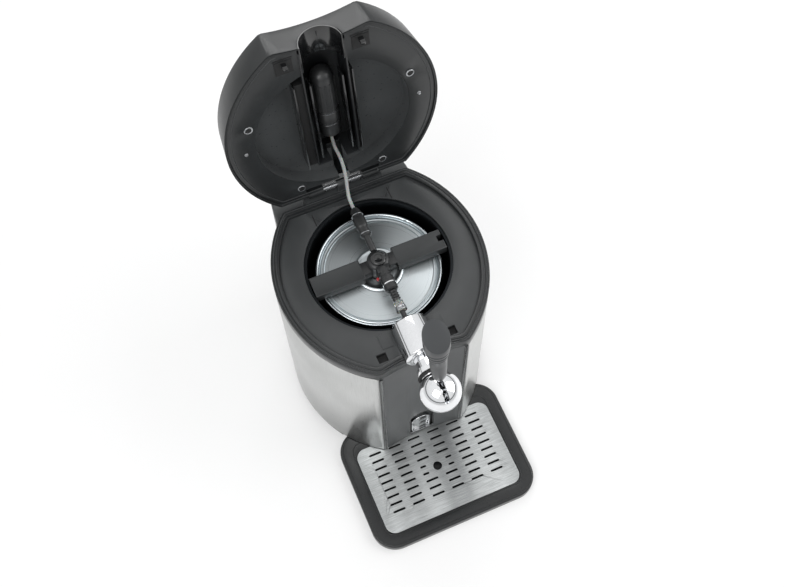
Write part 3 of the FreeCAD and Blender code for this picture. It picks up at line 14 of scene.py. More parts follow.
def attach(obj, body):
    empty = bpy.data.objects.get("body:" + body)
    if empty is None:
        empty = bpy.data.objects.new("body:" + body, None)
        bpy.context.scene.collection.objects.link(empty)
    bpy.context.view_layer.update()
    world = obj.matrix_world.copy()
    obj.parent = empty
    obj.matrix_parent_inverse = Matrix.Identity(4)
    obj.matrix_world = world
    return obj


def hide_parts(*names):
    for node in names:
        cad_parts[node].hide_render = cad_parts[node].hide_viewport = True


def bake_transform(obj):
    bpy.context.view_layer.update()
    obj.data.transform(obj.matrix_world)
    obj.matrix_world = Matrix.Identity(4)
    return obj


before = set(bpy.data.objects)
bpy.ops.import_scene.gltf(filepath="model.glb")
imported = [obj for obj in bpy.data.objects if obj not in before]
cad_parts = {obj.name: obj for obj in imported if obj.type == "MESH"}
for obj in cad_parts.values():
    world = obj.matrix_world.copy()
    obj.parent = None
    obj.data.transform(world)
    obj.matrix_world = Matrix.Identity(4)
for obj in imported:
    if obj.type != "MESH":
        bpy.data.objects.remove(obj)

LOG = logging.getLogger("keg_dispenser")
MM = 0.001
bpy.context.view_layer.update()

# Barrel axis behind the origin, hinge line and tap axis, all in millimetres
SHIFT = 45.45
HINGE_REACH = 128.6
HINGE_HEIGHT = 319.4
TAP_HEIGHT = 310.0
BALL_REACH = 193.0
# How far the lid stands open and the lever leans back
LID_OPEN = math.radians(97.06)
LEVER_LEAN = math.radians(8.0)

# Turns of an upright piece: with the lid, with the lever, onto its side, or upside down
UPRIGHT = Matrix.Identity(3)
LID_TURN = Matrix.Rotation(-LID_OPEN, 3, "X")
LEVER_TURN = Matrix.Rotation(-LEVER_LEAN, 3, "X")
TO_REAR = Matrix.Rotation(math.radians(-90), 3, "X")
TO_FRONT = Matrix.Rotation(math.radians(90), 3, "X")
FLIPPED = Matrix.Diagonal((1, 1, -1))

# The two sides, and which way each lies
SIDES = (("left", -1), ("right", 1))
# Sockets of a Mix node that mixes colours: both colours that go in, and the one that comes out
FIRST, SECOND, MIXED = 6, 7, 2

Point = tuple[float, float, float]
Profile = tuple[tuple[float, float], ...]


def at(x: float, y: float, z: float) -> Vector:
    """Turn millimetres from the barrel's axis into the frame's metres."""
    return Vector((x, y + SHIFT, z)) * MM


def in_lid(x: float, y: float, z: float) -> Vector:
    """Turn millimetres on the closed lid, over the barrel's axis, into metres from the hinge."""
    return Vector((x, y - HINGE_REACH, z)) * MM


HINGE_LINE = at(0, HINGE_REACH, HINGE_HEIGHT)


def linear(colour: str) -> tuple[float, float, float, float]:
    """Turn an sRGB hex colour into linear values.

    Args:
        colour: Six hex digits after a hash.

    Returns:
        Red, green, blue and an alpha of one.
    """
    parts = [int(colour[i:i + 2], 16) / 255 for i in (1, 3, 5)]
    red, green, blue = [c / 12.92 if c <= 0.04045 else ((c + 0.055) / 1.055) ** 2.4 for c in parts]
    return red, green, blue, 1.0


def add(tree: bpy.types.NodeTree, kind: str, inputs: dict | None = None,
        **settings: object) -> bpy.types.Node:
    """Add one shader node with its settings, values and links.

    Args:
        tree: The material's node tree.
        kind: The node's type, without its prefix.
        inputs: For each input's name or number, a value or an output socket to link.
        settings: Properties of the node.

    Returns:
        The new node.
    """
    made = tree.nodes.new(f"ShaderNode{kind}")
    for name, value in settings.items():
        setattr(made, name, value)
    for key, value in (inputs or {}).items():
        if isinstance(value, bpy.types.NodeSocket):
            tree.links.new(value, made.inputs[key])
        else:
            made.inputs[key].default_value = value
    return made


def blank(name: str) -> tuple[bpy.types.Material, bpy.types.NodeTree, bpy.types.NodeSocket]:
    """Start a material with only its output.

    Args:
        name: The real material's name.

    Returns:
        The material, its tree and the surface socket.
    """
    material = bpy.data.materials.new(name)
    material.use_nodes = True
    tree = material.node_tree
    tree.nodes.clear()
    out = add(tree, "OutputMaterial")
    return material, tree, out.inputs["Surface"]


class Grain(Enum):
    """Direction in which a metal's brushing runs."""

    ACROSS = (0.02, 1.0, 1.0)
    UPRIGHT = (1.0, 1.0, 0.02)
    NONE = (1.0, 1.0, 1.0)


@dataclass(frozen=True)
class Moulded:
    """Injection-moulded plastic, whose spark-eroded mould leaves a fine even grain."""

    name: str
    colour: str
    rubbed: str
    roughness: float = 0.5
    grain_mm: float = 0.9
    grain_depth: float = 0.12
    coat: float = 0.0

    def build(self) -> bpy.types.Material:
        """Make the plastic's material."""
        material, tree, surface = blank(self.name)
        place = add(tree, "TexCoord").outputs["Object"]
        grain = add(tree, "TexNoise", {"Vector": place, "Scale": 1 / (self.grain_mm * MM), "Detail": 2.0,
                                       "Roughness": 0.6})
        cloud = add(tree, "TexNoise", {"Vector": place, "Scale": 18.0, "Detail": 3.0})
        fade = add(tree, "MapRange", {"Value": cloud.outputs["Fac"], "From Min": 0.35, "From Max": 0.7})
        tint = add(tree, "Mix", {"Factor": fade.outputs["Result"], FIRST: linear(self.colour),
                                 SECOND: linear(self.rubbed)}, data_type="RGBA")
        dull = add(tree, "MapRange", {"Value": grain.outputs["Fac"], "To Min": self.roughness - 0.07,
                                      "To Max": self.roughness + 0.07})
        bump = add(tree, "Bump", {"Height": grain.outputs["Fac"], "Strength": self.grain_depth,
                                  "Distance": 0.2 * MM})
        shader = add(tree, "BsdfPrincipled", {"Base Color": tint.outputs[MIXED],
                                              "Roughness": dull.outputs["Result"],
                                              "Normal": bump.outputs["Normal"], "IOR": 1.5,
                                              "Coat Weight": self.coat, "Coat Roughness": 0.08})
        tree.links.new(shader.outputs["BSDF"], surface)
        return material


@dataclass(frozen=True)
class Metal:
    """Metal sheet or turned metal, with the fine lines that its finishing leaves.

    Its broad light and dark patches are stretched by bands and slid across by shift, in metres; stretched into
    bands, as on the grille, they are painted reflections.
    """

    name: str
    colour: str
    shade: str
    roughness: float
    grain: Grain = Grain.NONE
    line_mm: float = 0.5
    depth: float = 0.05
    bands: tuple[float, float, float] = (1.0, 1.0, 1.0)
    shift: float = 0.0

    def build(self) -> bpy.types.Material:
        """Make the metal's material."""
        material, tree, surface = blank(self.name)
        place = add(tree, "TexCoord").outputs["Object"]
        drawn = add(tree, "Mapping", {"Vector": place, "Scale": self.grain.value})
        lines = add(tree, "TexNoise", {"Vector": drawn.outputs["Vector"], "Scale": 1 / (self.line_mm * MM),
                                       "Detail": 4.0, "Roughness": 0.65})
        # Broad light and dark patches; stretched into bands they are painted reflections
        swept = add(tree, "Mapping", {"Vector": place, "Location": (self.shift, 0.0, 0.0),
                                      "Scale": self.bands})
        cloud = add(tree, "TexNoise", {"Vector": swept.outputs["Vector"], "Scale": 9.0, "Detail": 2.0})
        both = add(tree, "Math", {0: lines.outputs["Fac"], 1: cloud.outputs["Fac"]}, operation="MULTIPLY")
        spread = add(tree, "MapRange", {"Value": both.outputs["Value"], "From Min": 0.12, "From Max": 0.4})
        tint = add(tree, "Mix", {"Factor": spread.outputs["Result"], FIRST: linear(self.shade),
                                 SECOND: linear(self.colour)}, data_type="RGBA")
        dull = add(tree, "MapRange", {"Value": lines.outputs["Fac"], "To Min": self.roughness * 0.75,
                                      "To Max": self.roughness * 1.25})
        bump = add(tree, "Bump", {"Height": lines.outputs["Fac"], "Strength": self.depth,
                                  "Distance": 0.1 * MM})
        shader = add(tree, "BsdfPrincipled", {"Base Color": tint.outputs[MIXED], "Metallic": 1.0,
                                              "Roughness": dull.outputs["Result"],
                                              "Normal": bump.outputs["Normal"]})
        tree.links.new(shader.outputs["BSDF"], surface)
        return material


@dataclass(frozen=True)
class SpunMetal:
    """Sheet pressed and spun about an upright axis, whose rings stretch each highlight into a fan."""

    name: str
    colour: str
    shade: str
    roughness: float
    centre_mm: tuple[float, float]
    ring_mm: float = 1.2

    def build(self) -> bpy.types.Material:
        """Make the spun metal's material."""
        material, tree, surface = blank(self.name)
        place = add(tree, "TexCoord").outputs["Object"]
        middle = at(*self.centre_mm, 0)
        arm = add(tree, "VectorMath", {0: place, 1: (middle.x, middle.y, 0.0)}, operation="SUBTRACT")
        flat = add(tree, "VectorMath", {0: arm.outputs["Vector"], 1: (1.0, 1.0, 0.0)}, operation="MULTIPLY")
        reach = add(tree, "VectorMath", {0: flat.outputs["Vector"]}, operation="LENGTH")
        along = add(tree, "VectorMath", {0: (0.0, 0.0, 1.0), 1: flat.outputs["Vector"]},
                    operation="CROSS_PRODUCT")
        way = add(tree, "VectorMath", {0: along.outputs["Vector"]}, operation="NORMALIZE")
        rings = add(tree, "TexNoise", {"W": reach.outputs["Value"], "Scale": 1 / (self.ring_mm * MM),
                                       "Detail": 3.0}, noise_dimensions="1D")
        tint = add(tree, "Mix", {"Factor": rings.outputs["Fac"], FIRST: linear(self.shade),
                                 SECOND: linear(self.colour)}, data_type="RGBA")
        dull = add(tree, "MapRange", {"Value": rings.outputs["Fac"], "To Min": self.roughness * 0.8,
                                      "To Max": self.roughness * 1.2})
        bump = add(tree, "Bump", {"Height": rings.outputs["Fac"], "Strength": 0.05, "Distance": 0.1 * MM})
        shader = add(tree, "BsdfPrincipled", {"Base Color": tint.outputs[MIXED], "Metallic": 1.0,
                                              "Roughness": dull.outputs["Result"], "Anisotropic": 0.75,
                                              "Tangent": way.outputs["Vector"],
                                              "Normal": bump.outputs["Normal"]})
        tree.links.new(shader.outputs["BSDF"], surface)
        return material


@dataclass(frozen=True)
class Tubing:
    """Extruded food-grade tube, milky and a little see-through."""

    name: str
    colour: str
    deep: str
    through: float
    roughness: float = 0.22

    def build(self) -> bpy.types.Material:
        """Make the tube's material."""
        material, tree, surface = blank(self.name)
        place = add(tree, "TexCoord").outputs["Object"]
        haze = add(tree, "TexNoise", {"Vector": place, "Scale": 160.0, "Detail": 3.0})
        tint = add(tree, "Mix", {"Factor": haze.outputs["Fac"], FIRST: linear(self.colour),
                                 SECOND: linear(self.deep)}, data_type="RGBA")
        dull = add(tree, "MapRange", {"Value": haze.outputs["Fac"], "To Min": self.roughness - 0.05,
                                      "To Max": self.roughness + 0.08})
        shader = add(tree, "BsdfPrincipled", {"Base Color": tint.outputs[MIXED],
                                              "Roughness": dull.outputs["Result"],
                                              "IOR": 1.45, "Transmission Weight": self.through,
                                              "Subsurface Weight": 0.25, "Subsurface Scale": 0.004})
        tree.links.new(shader.outputs["BSDF"], surface)
        return material


# ABS moulded in a grained tool: charcoal, dull, with soft highlights along its edges
CHARCOAL_ABS = Moulded("charcoal_grained_abs", "#313334", "#383a3b", roughness=0.4)
# The same ABS on the front panel, painted lighter: a painted highlight where its flat face catches more light
PANEL_ABS_PAINTED_LIGHT = Moulded("panel_abs_painted_light", "#505253", "#565859", roughness=0.45)
# The same ABS on the lid's outside and liner, painted a little darker as painted shade
LID_ABS_PAINTED_SHADE = Moulded("lid_abs_painted_shade", "#1c1e1f", "#222425", roughness=0.36)
# Black ABS inside the cartridge bay
BAY_ABS = Moulded("bay_black_abs", "#17181a", "#1e2021", roughness=0.3, grain_mm=1.5, grain_depth=0.04)
# Black ABS of the drip tray: satin
TRAY_ABS = Moulded("tray_satin_abs", "#1b1c1d", "#202223", roughness=0.3, grain_mm=2.0, grain_depth=0.03)
# The rim's ABS, painted darker than the deck: painted shade to damp the light its edges catch
RIM_ABS_PAINTED_SHADE = Moulded("rim_abs_painted_shade", "#202223", "#27292a", roughness=0.3, grain_mm=1.2, grain_depth=0.04)
# The ABS of the dish in the lid, less grained, and painted lighter: a painted highlight for the light its bowl
# catches
DISH_ABS_PAINTED_LIGHT = Moulded("dish_smooth_abs_painted_light", "#3a3c3d", "#434546", roughness=0.3, grain_mm=4.0, grain_depth=0.03)
# ABS inside deep pockets, painted dead black: painted shade where hardly any light falls
POCKET_PAINTED_SHADE = Moulded("pocket_painted_shade", "#0a0a0b", "#0d0d0e", roughness=0.7, grain_mm=2.0, grain_depth=0.02)
# Polished ABS: near black, mirror-like and faintly wavy
GLOSS_ABS = Moulded("polished_black_abs", "#141516", "#1b1c1d", roughness=0.16, grain_mm=5.0, grain_depth=0.02,
                    coat=0.5)
# Glass-filled nylon of the coupler: black with a soft sheen
BLACK_NYLON = Moulded("black_nylon", "#232425", "#2c2d2e", roughness=0.36, grain_mm=0.7, grain_depth=0.08)
# Same nylon on the coupler's broad arms, painted greyer: a painted highlight for the light their dull grain
# spreads
ARM_NYLON_PAINTED_LIGHT = Moulded("arm_nylon_painted_light", "#2f3132", "#383a3b", roughness=0.45, grain_mm=0.9, grain_depth=0.1)
# Satin ABS of the tap handle
HANDLE_ABS = Moulded("handle_satin_abs", "#37393b", "#3c3e40", roughness=0.34, grain_mm=1.2, grain_depth=0.03)
# Moulded EPDM rubber: black and quite dull
RUBBER = Moulded("black_epdm_rubber", "#121212", "#1a1a1a", roughness=0.7, grain_mm=0.8, grain_depth=0.1)
# Rigid polyurethane foam: cream, with small cells
FOAM = Moulded("polyurethane_foam", "#d9d2b8", "#c9c1a2", roughness=0.85, grain_mm=1.5, grain_depth=0.6)
# Acrylic lens over the controls: grey and glossy
LENS_ACRYLIC = Moulded("grey_acrylic_lens", "#8d9193", "#989c9e", roughness=0.12, grain_mm=6.0,
                       grain_depth=0.01, coat=0.8)
# Alumina ceramic plates of the cooler
CERAMIC = Moulded("alumina_ceramic", "#e6e3da", "#dad6cb", roughness=0.6, grain_mm=0.6, grain_depth=0.08)
# Brushed stainless sheet with upright grain on the bowed sides
SKIN_STEEL = Metal("brushed_stainless_sheet", "#c9cac9", "#b4b5b4", 0.3, Grain.UPRIGHT, 0.6)
# Stainless grille brushed along its slots, with broad bands of painted reflection laid across it
GRILLE_STEEL = Metal("brushed_grille_painted_reflection", "#cdd0d0", "#7b7d7e", 0.4, Grain.ACROSS, 0.5, 0.02,
                     (2.2, 0.2, 1.0), 0.21)
# Chromium plate on brass: bright, with only faint polishing swirls
CHROME = Metal("chromium_plate", "#f0f1f3", "#e6e7e9", 0.08, Grain.NONE, 3.0, 0.01)
# Lacquered tinplate of the keg: bluish grey and shiny
TINPLATE = Metal("lacquered_tinplate", "#c3c9cc", "#b5bcc0", 0.2, Grain.NONE, 4.0, 0.02)
# The keg's top, spun tinplate: bright and dark fans round the valve
SPUN_TINPLATE = SpunMetal("spun_tinplate", "#ccd2d4", "#bcc3c6", 0.3, (0.0, 4.4))
# Zinc-plated spring and pin steel
ZINC_STEEL = Metal("zinc_plated_steel", "#b7b9bb", "#9fa1a4", 0.28, Grain.NONE, 1.0, 0.04)
# Aluminium of the well, dull, and painted dark as painted shade inside the well
WELL_ALUMINIUM_PAINTED_SHADE = Metal("well_aluminium_painted_shade", "#2a2c2e", "#212325", 0.42, Grain.NONE, 0.8, 0.06)
# Extruded aluminium of the cooler
RAW_ALUMINIUM = Metal("extruded_aluminium", "#c6c8c9", "#b3b5b7", 0.35, Grain.UPRIGHT, 0.7)
# Polyamide gas hose: milky white-grey
GAS_TUBE = Tubing("milky_polyamide_tube", "#c9cccb", "#b4b8b7", 0.25)
# Clear vinyl beer tube with moulded ribs
BEER_TUBE = Tubing("clear_vinyl_tube", "#d6d9d6", "#c3c7c4", 0.6, 0.12)
# Pigmented acetal of the lock's marker: plain signal red
MARKER_ACETAL = Moulded("red_acetal", "#c8373c", "#b92f34", roughness=0.35, grain_mm=2.0, grain_depth=0.02)

Finish = Moulded | Metal | SpunMetal | Tubing


@dataclass
class Workshop:
    """Makes each finish once, dresses pieces with it and fixes them to their bodies."""

    made: dict[str, bpy.types.Material] = field(default_factory=dict)
    merge_mm: float = 0.01
    rounded_above: float = 35.0

    def finish(self, finish: Finish) -> bpy.types.Material:
        """Return a finish's material, made the first time it is asked for."""
        if finish.name not in self.made:
            self.made[finish.name] = finish.build()
        return self.made[finish.name]

    def dress(self, piece: bpy.types.Object, finish: Finish) -> None:
        """Give a piece one finish all over."""
        piece.data.materials.clear()
        piece.data.materials.append(self.finish(finish))

    def fit(self, piece: bpy.types.Object, finish: Finish, body: str, node: str | None = None,
            angle: float = 30.0) -> None:
        """Settle and dress a new piece and fix it to its body.

        Args:
            piece: The piece, with its mesh in place.
            finish: Its finish.
            body: The body that it rides on.
            node: The CAD node that it stands in for, if any.
            angle: Edges that turn by more than this many degrees stay crisp.
        """
        settle(piece, piece.name, angle)
        self.dress(piece, finish)
        if node:
            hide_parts(node)
        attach(piece, body)
        LOG.info("%s made with %d faces", piece.name, len(piece.data.polygons))

    def refine(self, node: str, body: str, finish: Finish, bevel_mm: float = 0.5,
               angle: float = 30.0) -> bpy.types.Object:
        """Stand a merged, edge-rounded and smoothly shaded copy in for a CAD node.

        Args:
            node: The CAD node.
            body: The body that the node rides on.
            finish: The copy's finish.
            bevel_mm: Radius of its edges, or zero for sharp ones.
            angle: Edges that turn by more than this many degrees stay crisp; with zero, all do.

        Returns:
            The copy.
        """
        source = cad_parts[node]
        copy = bpy.data.objects.new(f"{node}_dressed", source.data.copy())
        bpy.context.scene.collection.objects.link(copy)
        only(copy)
        bpy.ops.object.mode_set(mode="EDIT")
        bpy.ops.mesh.select_all(action="SELECT")
        bpy.ops.mesh.remove_doubles(threshold=self.merge_mm * MM)
        bpy.ops.object.mode_set(mode="OBJECT")
        if copy.data.has_custom_normals:
            bpy.ops.mesh.customdata_custom_splitnormals_clear()
        if bevel_mm:
            round_edges(copy, bevel_mm, 2, self.rounded_above)
        if angle:
            bpy.ops.object.shade_smooth_by_angle(angle=math.radians(angle))
        else:
            bpy.ops.object.shade_flat()
        self.dress(copy, finish)
        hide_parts(node)
        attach(copy, body)
        LOG.info("%s refined with %d faces", node, len(copy.data.polygons))
        return copy


def deselect() -> None:
    """Deselect every object."""
    bpy.ops.object.select_all(action="DESELECT")


def only(piece: bpy.types.Object) -> None:
    """Select one piece alone and make it active."""
    deselect()
    piece.select_set(True)
    bpy.context.view_layer.objects.active = piece


def settle(piece: bpy.types.Object, name: str, angle: float = 30.0) -> bpy.types.Object:
    """Name a new piece, put its place into its mesh, point its faces outwards and shade it smoothly.

    Args:
        piece: The piece, in object mode.
        name: Its name.
        angle: Edges that turn by more than this many degrees stay crisp.

    Returns:
        The piece.
    """
    piece.name = name
    only(piece)
    bpy.ops.object.transform_apply(location=True, rotation=True, scale=True)
    bpy.ops.object.mode_set(mode="EDIT")
    bpy.ops.mesh.select_all(action="SELECT")
    bpy.ops.mesh.normals_make_consistent(inside=False)
    bpy.ops.object.mode_set(mode="OBJECT")
    bpy.ops.object.shade_smooth_by_angle(angle=math.radians(angle))
    return piece


def round_edges(piece: bpy.types.Object, radius_mm: float, steps: int, above: float) -> None:
    """Round the edges of the active piece with an applied bevel.

    Args:
        piece: The active piece, in object mode.
        radius_mm: Radius of its edges.
        steps: Facets across each edge.
        above: Only edges that turn by more than this many degrees are rounded.
    """
    rounding = piece.modifiers.new("edges", "BEVEL")
    rounding.width = radius_mm * MM
    rounding.segments = steps
    rounding.limit_method = "ANGLE"
    rounding.angle_limit = math.radians(above)
    bpy.ops.object.modifier_apply(modifier="edges")


def pick(piece: bpy.types.Object, choose: Callable[[bpy.types.MeshPolygon], bool]) -> None:
    """Select the faces of a piece that a test accepts, and leave it in edit mode.

    Args:
        piece: The piece, in object mode.
        choose: The test for one face.
    """
    only(piece)
    bpy.ops.object.mode_set(mode="EDIT")
    bpy.ops.mesh.select_mode(type="FACE")
    bpy.ops.mesh.select_all(action="DESELECT")
    bpy.ops.object.mode_set(mode="OBJECT")
    for face in piece.data.polygons:
        face.select = choose(face)
    bpy.ops.object.mode_set(mode="EDIT")


def turned(name: str, profile: Profile, sides: int = 64, capped: bool = True) -> bpy.types.Object:
    """Turn a piece about the upright axis by drawing a ring out along its profile.

    Args:
        name: The piece's name.
        profile: Radius and height of each ring in millimetres, from the foot up.
        sides: Facets round the piece.
        capped: Whether both ends are closed.

    Returns:
        The piece, still upright at the origin.
    """
    deselect()
    radius, height = profile[0]
    bpy.ops.mesh.primitive_circle_add(vertices=sides, radius=radius * MM, location=(0, 0, height * MM),
                                      fill_type="NGON" if capped else "NOTHING")
    piece = bpy.context.object
    bpy.ops.object.transform_apply(location=True, rotation=True, scale=True)
    bpy.ops.object.mode_set(mode="EDIT")
    bpy.ops.mesh.select_mode(type="FACE" if capped else "EDGE")
    bpy.ops.mesh.select_all(action="SELECT")
    for wide, high in profile[1:]:
        bpy.ops.mesh.extrude_region_move(TRANSFORM_OT_translate={"value": (0, 0, (high - height) * MM)})
        share = wide / radius
        bpy.ops.transform.resize(value=(share, share, 1.0), center_override=(0, 0, high * MM))
        radius, height = wide, high
    bpy.ops.object.mode_set(mode="OBJECT")
    piece.name = name
    return piece


def inside(points: list[Vector], middle: Vector, inset_mm: float) -> list[Vector]:
    """Draw the outline of flat points in towards its middle.

    Args:
        points: Points in metres, on a plane.
        middle: The plane's point to draw towards.
        inset_mm: How far each point of the outline moves.

    Returns:
        The outline's points in their order.
    """
    spokes = [points[index] - middle for index in convex_hull_2d(points)]
    return [middle + spoke * (1 - inset_mm * MM / spoke.length) for spoke in spokes]


def bead(name: str, points: list[Vector], radius_mm: float, closed: bool) -> bpy.types.Object:
    """Lay a thin moulded bead along a line of points.

    Args:
        name: The bead's name.
        points: The line in metres.
        radius_mm: The bead's radius.
        closed: Whether the line runs back to its start.

    Returns:
        The bead as a mesh at the origin.
    """
    deselect()
    curve = bpy.data.curves.new(name, "CURVE")
    curve.dimensions = "3D"
    line = curve.splines.new("POLY")
    line.points.add(len(points) - 1)
    for point, place in zip(line.points, points):
        point.co = (*place, 1.0)
    line.use_cyclic_u = closed
    curve.bevel_depth = radius_mm * MM
    curve.bevel_resolution = 3
    piece = bpy.data.objects.new(name, curve)
    bpy.context.scene.collection.objects.link(piece)
    only(piece)
    bpy.ops.object.convert(target="MESH")
    return bpy.context.object


def carry(piece: bpy.types.Object, origin: Vector, turn: Matrix) -> None:
    """Turn a piece's mesh about the origin and move it to its place."""
    piece.data.transform(Matrix.Translation(origin) @ turn.to_4x4())


def board(name: str, low: Point, high: Point, lip_mm: float, drop_mm: float,
          edge_mm: float = 0.6) -> bpy.types.Object:
    """Make a moulded board whose upper face is inset by a lip and sunk or raised.

    Args:
        name: The piece's name.
        low: Lowest corner in millimetres, in the piece's own frame.
        high: Highest corner.
        lip_mm: Width of the lip round the upper face.
        drop_mm: How far the face inside the lip goes up, or down if negative.
        edge_mm: Radius of the edges.

    Returns:
        The board.
    """
    deselect()
    middle = [(a + b) / 2 * MM for a, b in zip(low, high)]
    bpy.ops.mesh.primitive_cube_add(size=1.0, location=middle, scale=[(b - a) * MM for a, b in zip(low, high)])
    piece = bpy.context.object
    bpy.ops.object.transform_apply(location=True, rotation=True, scale=True)
    top = high[2] * MM
    pick(piece, lambda face: face.normal.z > 0.9 and face.center.z > top - 0.1 * MM)
    bpy.ops.mesh.inset(thickness=lip_mm * MM, use_even_offset=True)
    bpy.ops.mesh.extrude_region_move(TRANSFORM_OT_translate={"value": (0, 0, drop_mm * MM)})
    bpy.ops.object.mode_set(mode="OBJECT")
    round_edges(piece, edge_mm, 3, 40.0)
    piece.name = name
    return piece


@dataclass
class GasHose:
    """Hose from the regulator's nipple past the hinge to the coupler."""

    shop: Workshop
    radius_mm: float = 2.4
    route: tuple[Point, ...] = (
        (0, 153.4, 399.2), (0, 150.6, 379.3), (5, 139, 360), (5, 126, 341), (2, 115, 325),
        (0, 107, 315.5), (0, 99.2, 310), (0, 88.2, 310))

    def build(self) -> None:
        curve = bpy.data.curves.new("gas_hose_line", "CURVE")
        curve.dimensions = "3D"
        spline = curve.splines.new("NURBS")
        spline.points.add(len(self.route) - 1)
        for point, place in zip(spline.points, self.route):
            point.co = (*at(*place), 1.0)
        spline.order_u = 3
        spline.use_endpoint_u = True
        curve.resolution_u = 24
        bare = bpy.data.objects.new("gas_hose_bare", curve)
        line = bpy.data.meshes.new_from_object(bare)
        bpy.data.meshes.remove(line)
        bpy.data.objects.remove(bare)
        curve.bevel_depth = self.radius_mm * MM
        curve.bevel_resolution = 6
        curve.use_fill_caps = True
        hose = bpy.data.objects.new("gas_hose_tube", curve)
        bpy.context.scene.collection.objects.link(hose)
        self.shop.dress(hose, GAS_TUBE)
        only(hose)
        bpy.ops.object.convert(target="MESH")
        hose = bpy.context.object
        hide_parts("gas_hose")
        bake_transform(hose)


@dataclass
class Studio:
    """Pale floor, soft light and the camera at the photograph's angle."""

    eye_mm: Point = (-219.587, -620.368, 1575.696)
    azimuth: float = -20.86
    elevation: float = 64.14
    roll: float = -2.47
    focal_px: float = 1098.015
    image_px: float = 786.0
    # Each lamp's name, place, size and power, in metres and watts
    lamps: tuple[tuple[str, Point, float, float], ...] = (
        ("key_softbox", (-1.3, -0.9, 2.0), 1.4, 24.0), ("fill_softbox", (1.6, -0.4, 1.4), 1.6, 19.0),
        ("back_softbox", (0.3, 1.7, 1.8), 1.4, 18.0))
    lamps_aim: Point = (0.0, 0.0, 0.25)
    # Heights and colours of the bands that bright metal mirrors between the floor and the ceiling
    horizon: tuple[tuple[float, str], ...] = (
        (0.03, "#c9cbcc"), (0.05, "#3c3e40"), (0.12, "#6a6c6e"), (0.17, "#eceded"))

    def camera(self) -> None:
        """Stand the camera where the photograph was taken."""
        turn, rise, roll = (math.radians(a) for a in (self.azimuth, self.elevation, self.roll))
        back = Vector((math.sin(turn) * math.cos(rise), -math.cos(turn) * math.cos(rise), math.sin(rise)))
        right = (-back).cross(Vector((0, 0, 1))).normalized()
        up = right.cross(-back)
        side = math.cos(roll) * right + math.sin(roll) * up
        top = -math.sin(roll) * right + math.cos(roll) * up
        data = bpy.data.cameras.new("camera")
        data.sensor_width = 36.0
        data.lens = self.focal_px * data.sensor_width / self.image_px
        data.clip_end = 50.0
        eye = bpy.data.objects.new("camera", data)
        pose = Matrix((side, top, back)).transposed().to_4x4()
        pose.translation = at(*self.eye_mm)
        eye.matrix_world = pose
        bpy.context.scene.collection.objects.link(eye)
        bpy.context.scene.camera = eye

    def floor(self) -> None:
        """Lay a plain pale floor."""
        bpy.ops.mesh.primitive_plane_add(size=12.0, location=(0, 0, 0))
        ground = settle(bpy.context.object, "floor")
        material, tree, surface = blank("matte_pale_paper")
        place = add(tree, "TexCoord").outputs["Object"]
        fibre = add(tree, "TexNoise", {"Vector": place, "Scale": 300.0, "Detail": 2.0})
        tint = add(tree, "Mix", {"Factor": fibre.outputs["Fac"], FIRST: linear("#f4f4f4"),
                                 SECOND: linear("#f7f7f7")}, data_type="RGBA")
        paper = add(tree, "BsdfPrincipled", {"Base Color": tint.outputs[MIXED], "Roughness": 0.9})
        glow = add(tree, "Emission", {"Color": linear("#ffffff"), "Strength": 1.0})
        path = add(tree, "LightPath")
        seen = add(tree, "Math", {0: path.outputs["Is Camera Ray"], 1: path.outputs["Is Transmission Ray"]},
                   operation="MAXIMUM")
        part = add(tree, "Math", {0: seen.outputs["Value"], 1: 0.35}, operation="MULTIPLY")
        mix = add(tree, "MixShader", {"Fac": part.outputs["Value"], 1: paper.outputs["BSDF"],
                                      2: glow.outputs["Emission"]})
        tree.links.new(mix.outputs["Shader"], surface)
        ground.data.materials.append(material)

    def lights(self) -> None:
        """Hang three soft lamps and a pale sky."""
        for name, place, size, power in self.lamps:
            lamp = bpy.data.lights.new(name, "AREA")
            lamp.shape = "SQUARE"
            lamp.size = size
            lamp.energy = power
            holder = bpy.data.objects.new(name, lamp)
            spot = Vector(place)
            holder.location = spot
            holder.rotation_euler = (Vector(self.lamps_aim) - spot).to_track_quat("-Z", "Y").to_euler()
            bpy.context.scene.collection.objects.link(holder)
        world = bpy.data.worlds.new("pale_room")
        world.use_nodes = True
        tree = world.node_tree
        tree.nodes.clear()
        way = add(tree, "TexCoord").outputs["Generated"]
        parts = add(tree, "SeparateXYZ", {"Vector": way})
        ramp = add(tree, "ValToRGB", {"Fac": parts.outputs["Z"]})
        stops = ramp.color_ramp.elements
        stops[0].position, stops[0].color = 0.0, linear("#f2f3f3")
        stops[1].position, stops[1].color = 1.0, linear("#ffffff")
        for place, colour in self.horizon:
            stop = stops.new(place)
            stop.color = linear(colour)
        path = add(tree, "LightPath")
        sky = add(tree, "Mix", {"Factor": path.outputs["Is Camera Ray"], FIRST: ramp.outputs["Color"],
                                SECOND: linear("#ffffff")}, data_type="RGBA")
        bright = add(tree, "Math", {0: path.outputs["Is Camera Ray"], 1: path.outputs["Is Glossy Ray"]},
                     operation="MAXIMUM")
        strength = add(tree, "Mix", {"Factor": bright.outputs["Value"], 2: 0.6, 3: 1.0}, data_type="FLOAT")
        shine = add(tree, "Background", {"Color": sky.outputs[MIXED], "Strength": strength.outputs[0]})
        out = add(tree, "OutputWorld")
        tree.links.new(shine.outputs["Background"], out.inputs["Surface"])
        bpy.context.scene.world = world

    def build(self) -> None:
        """Set the whole studio up."""
        self.camera()
        self.floor()
        self.lights()
        bpy.context.scene.view_settings.view_transform = "Standard"
        LOG.info("studio set")


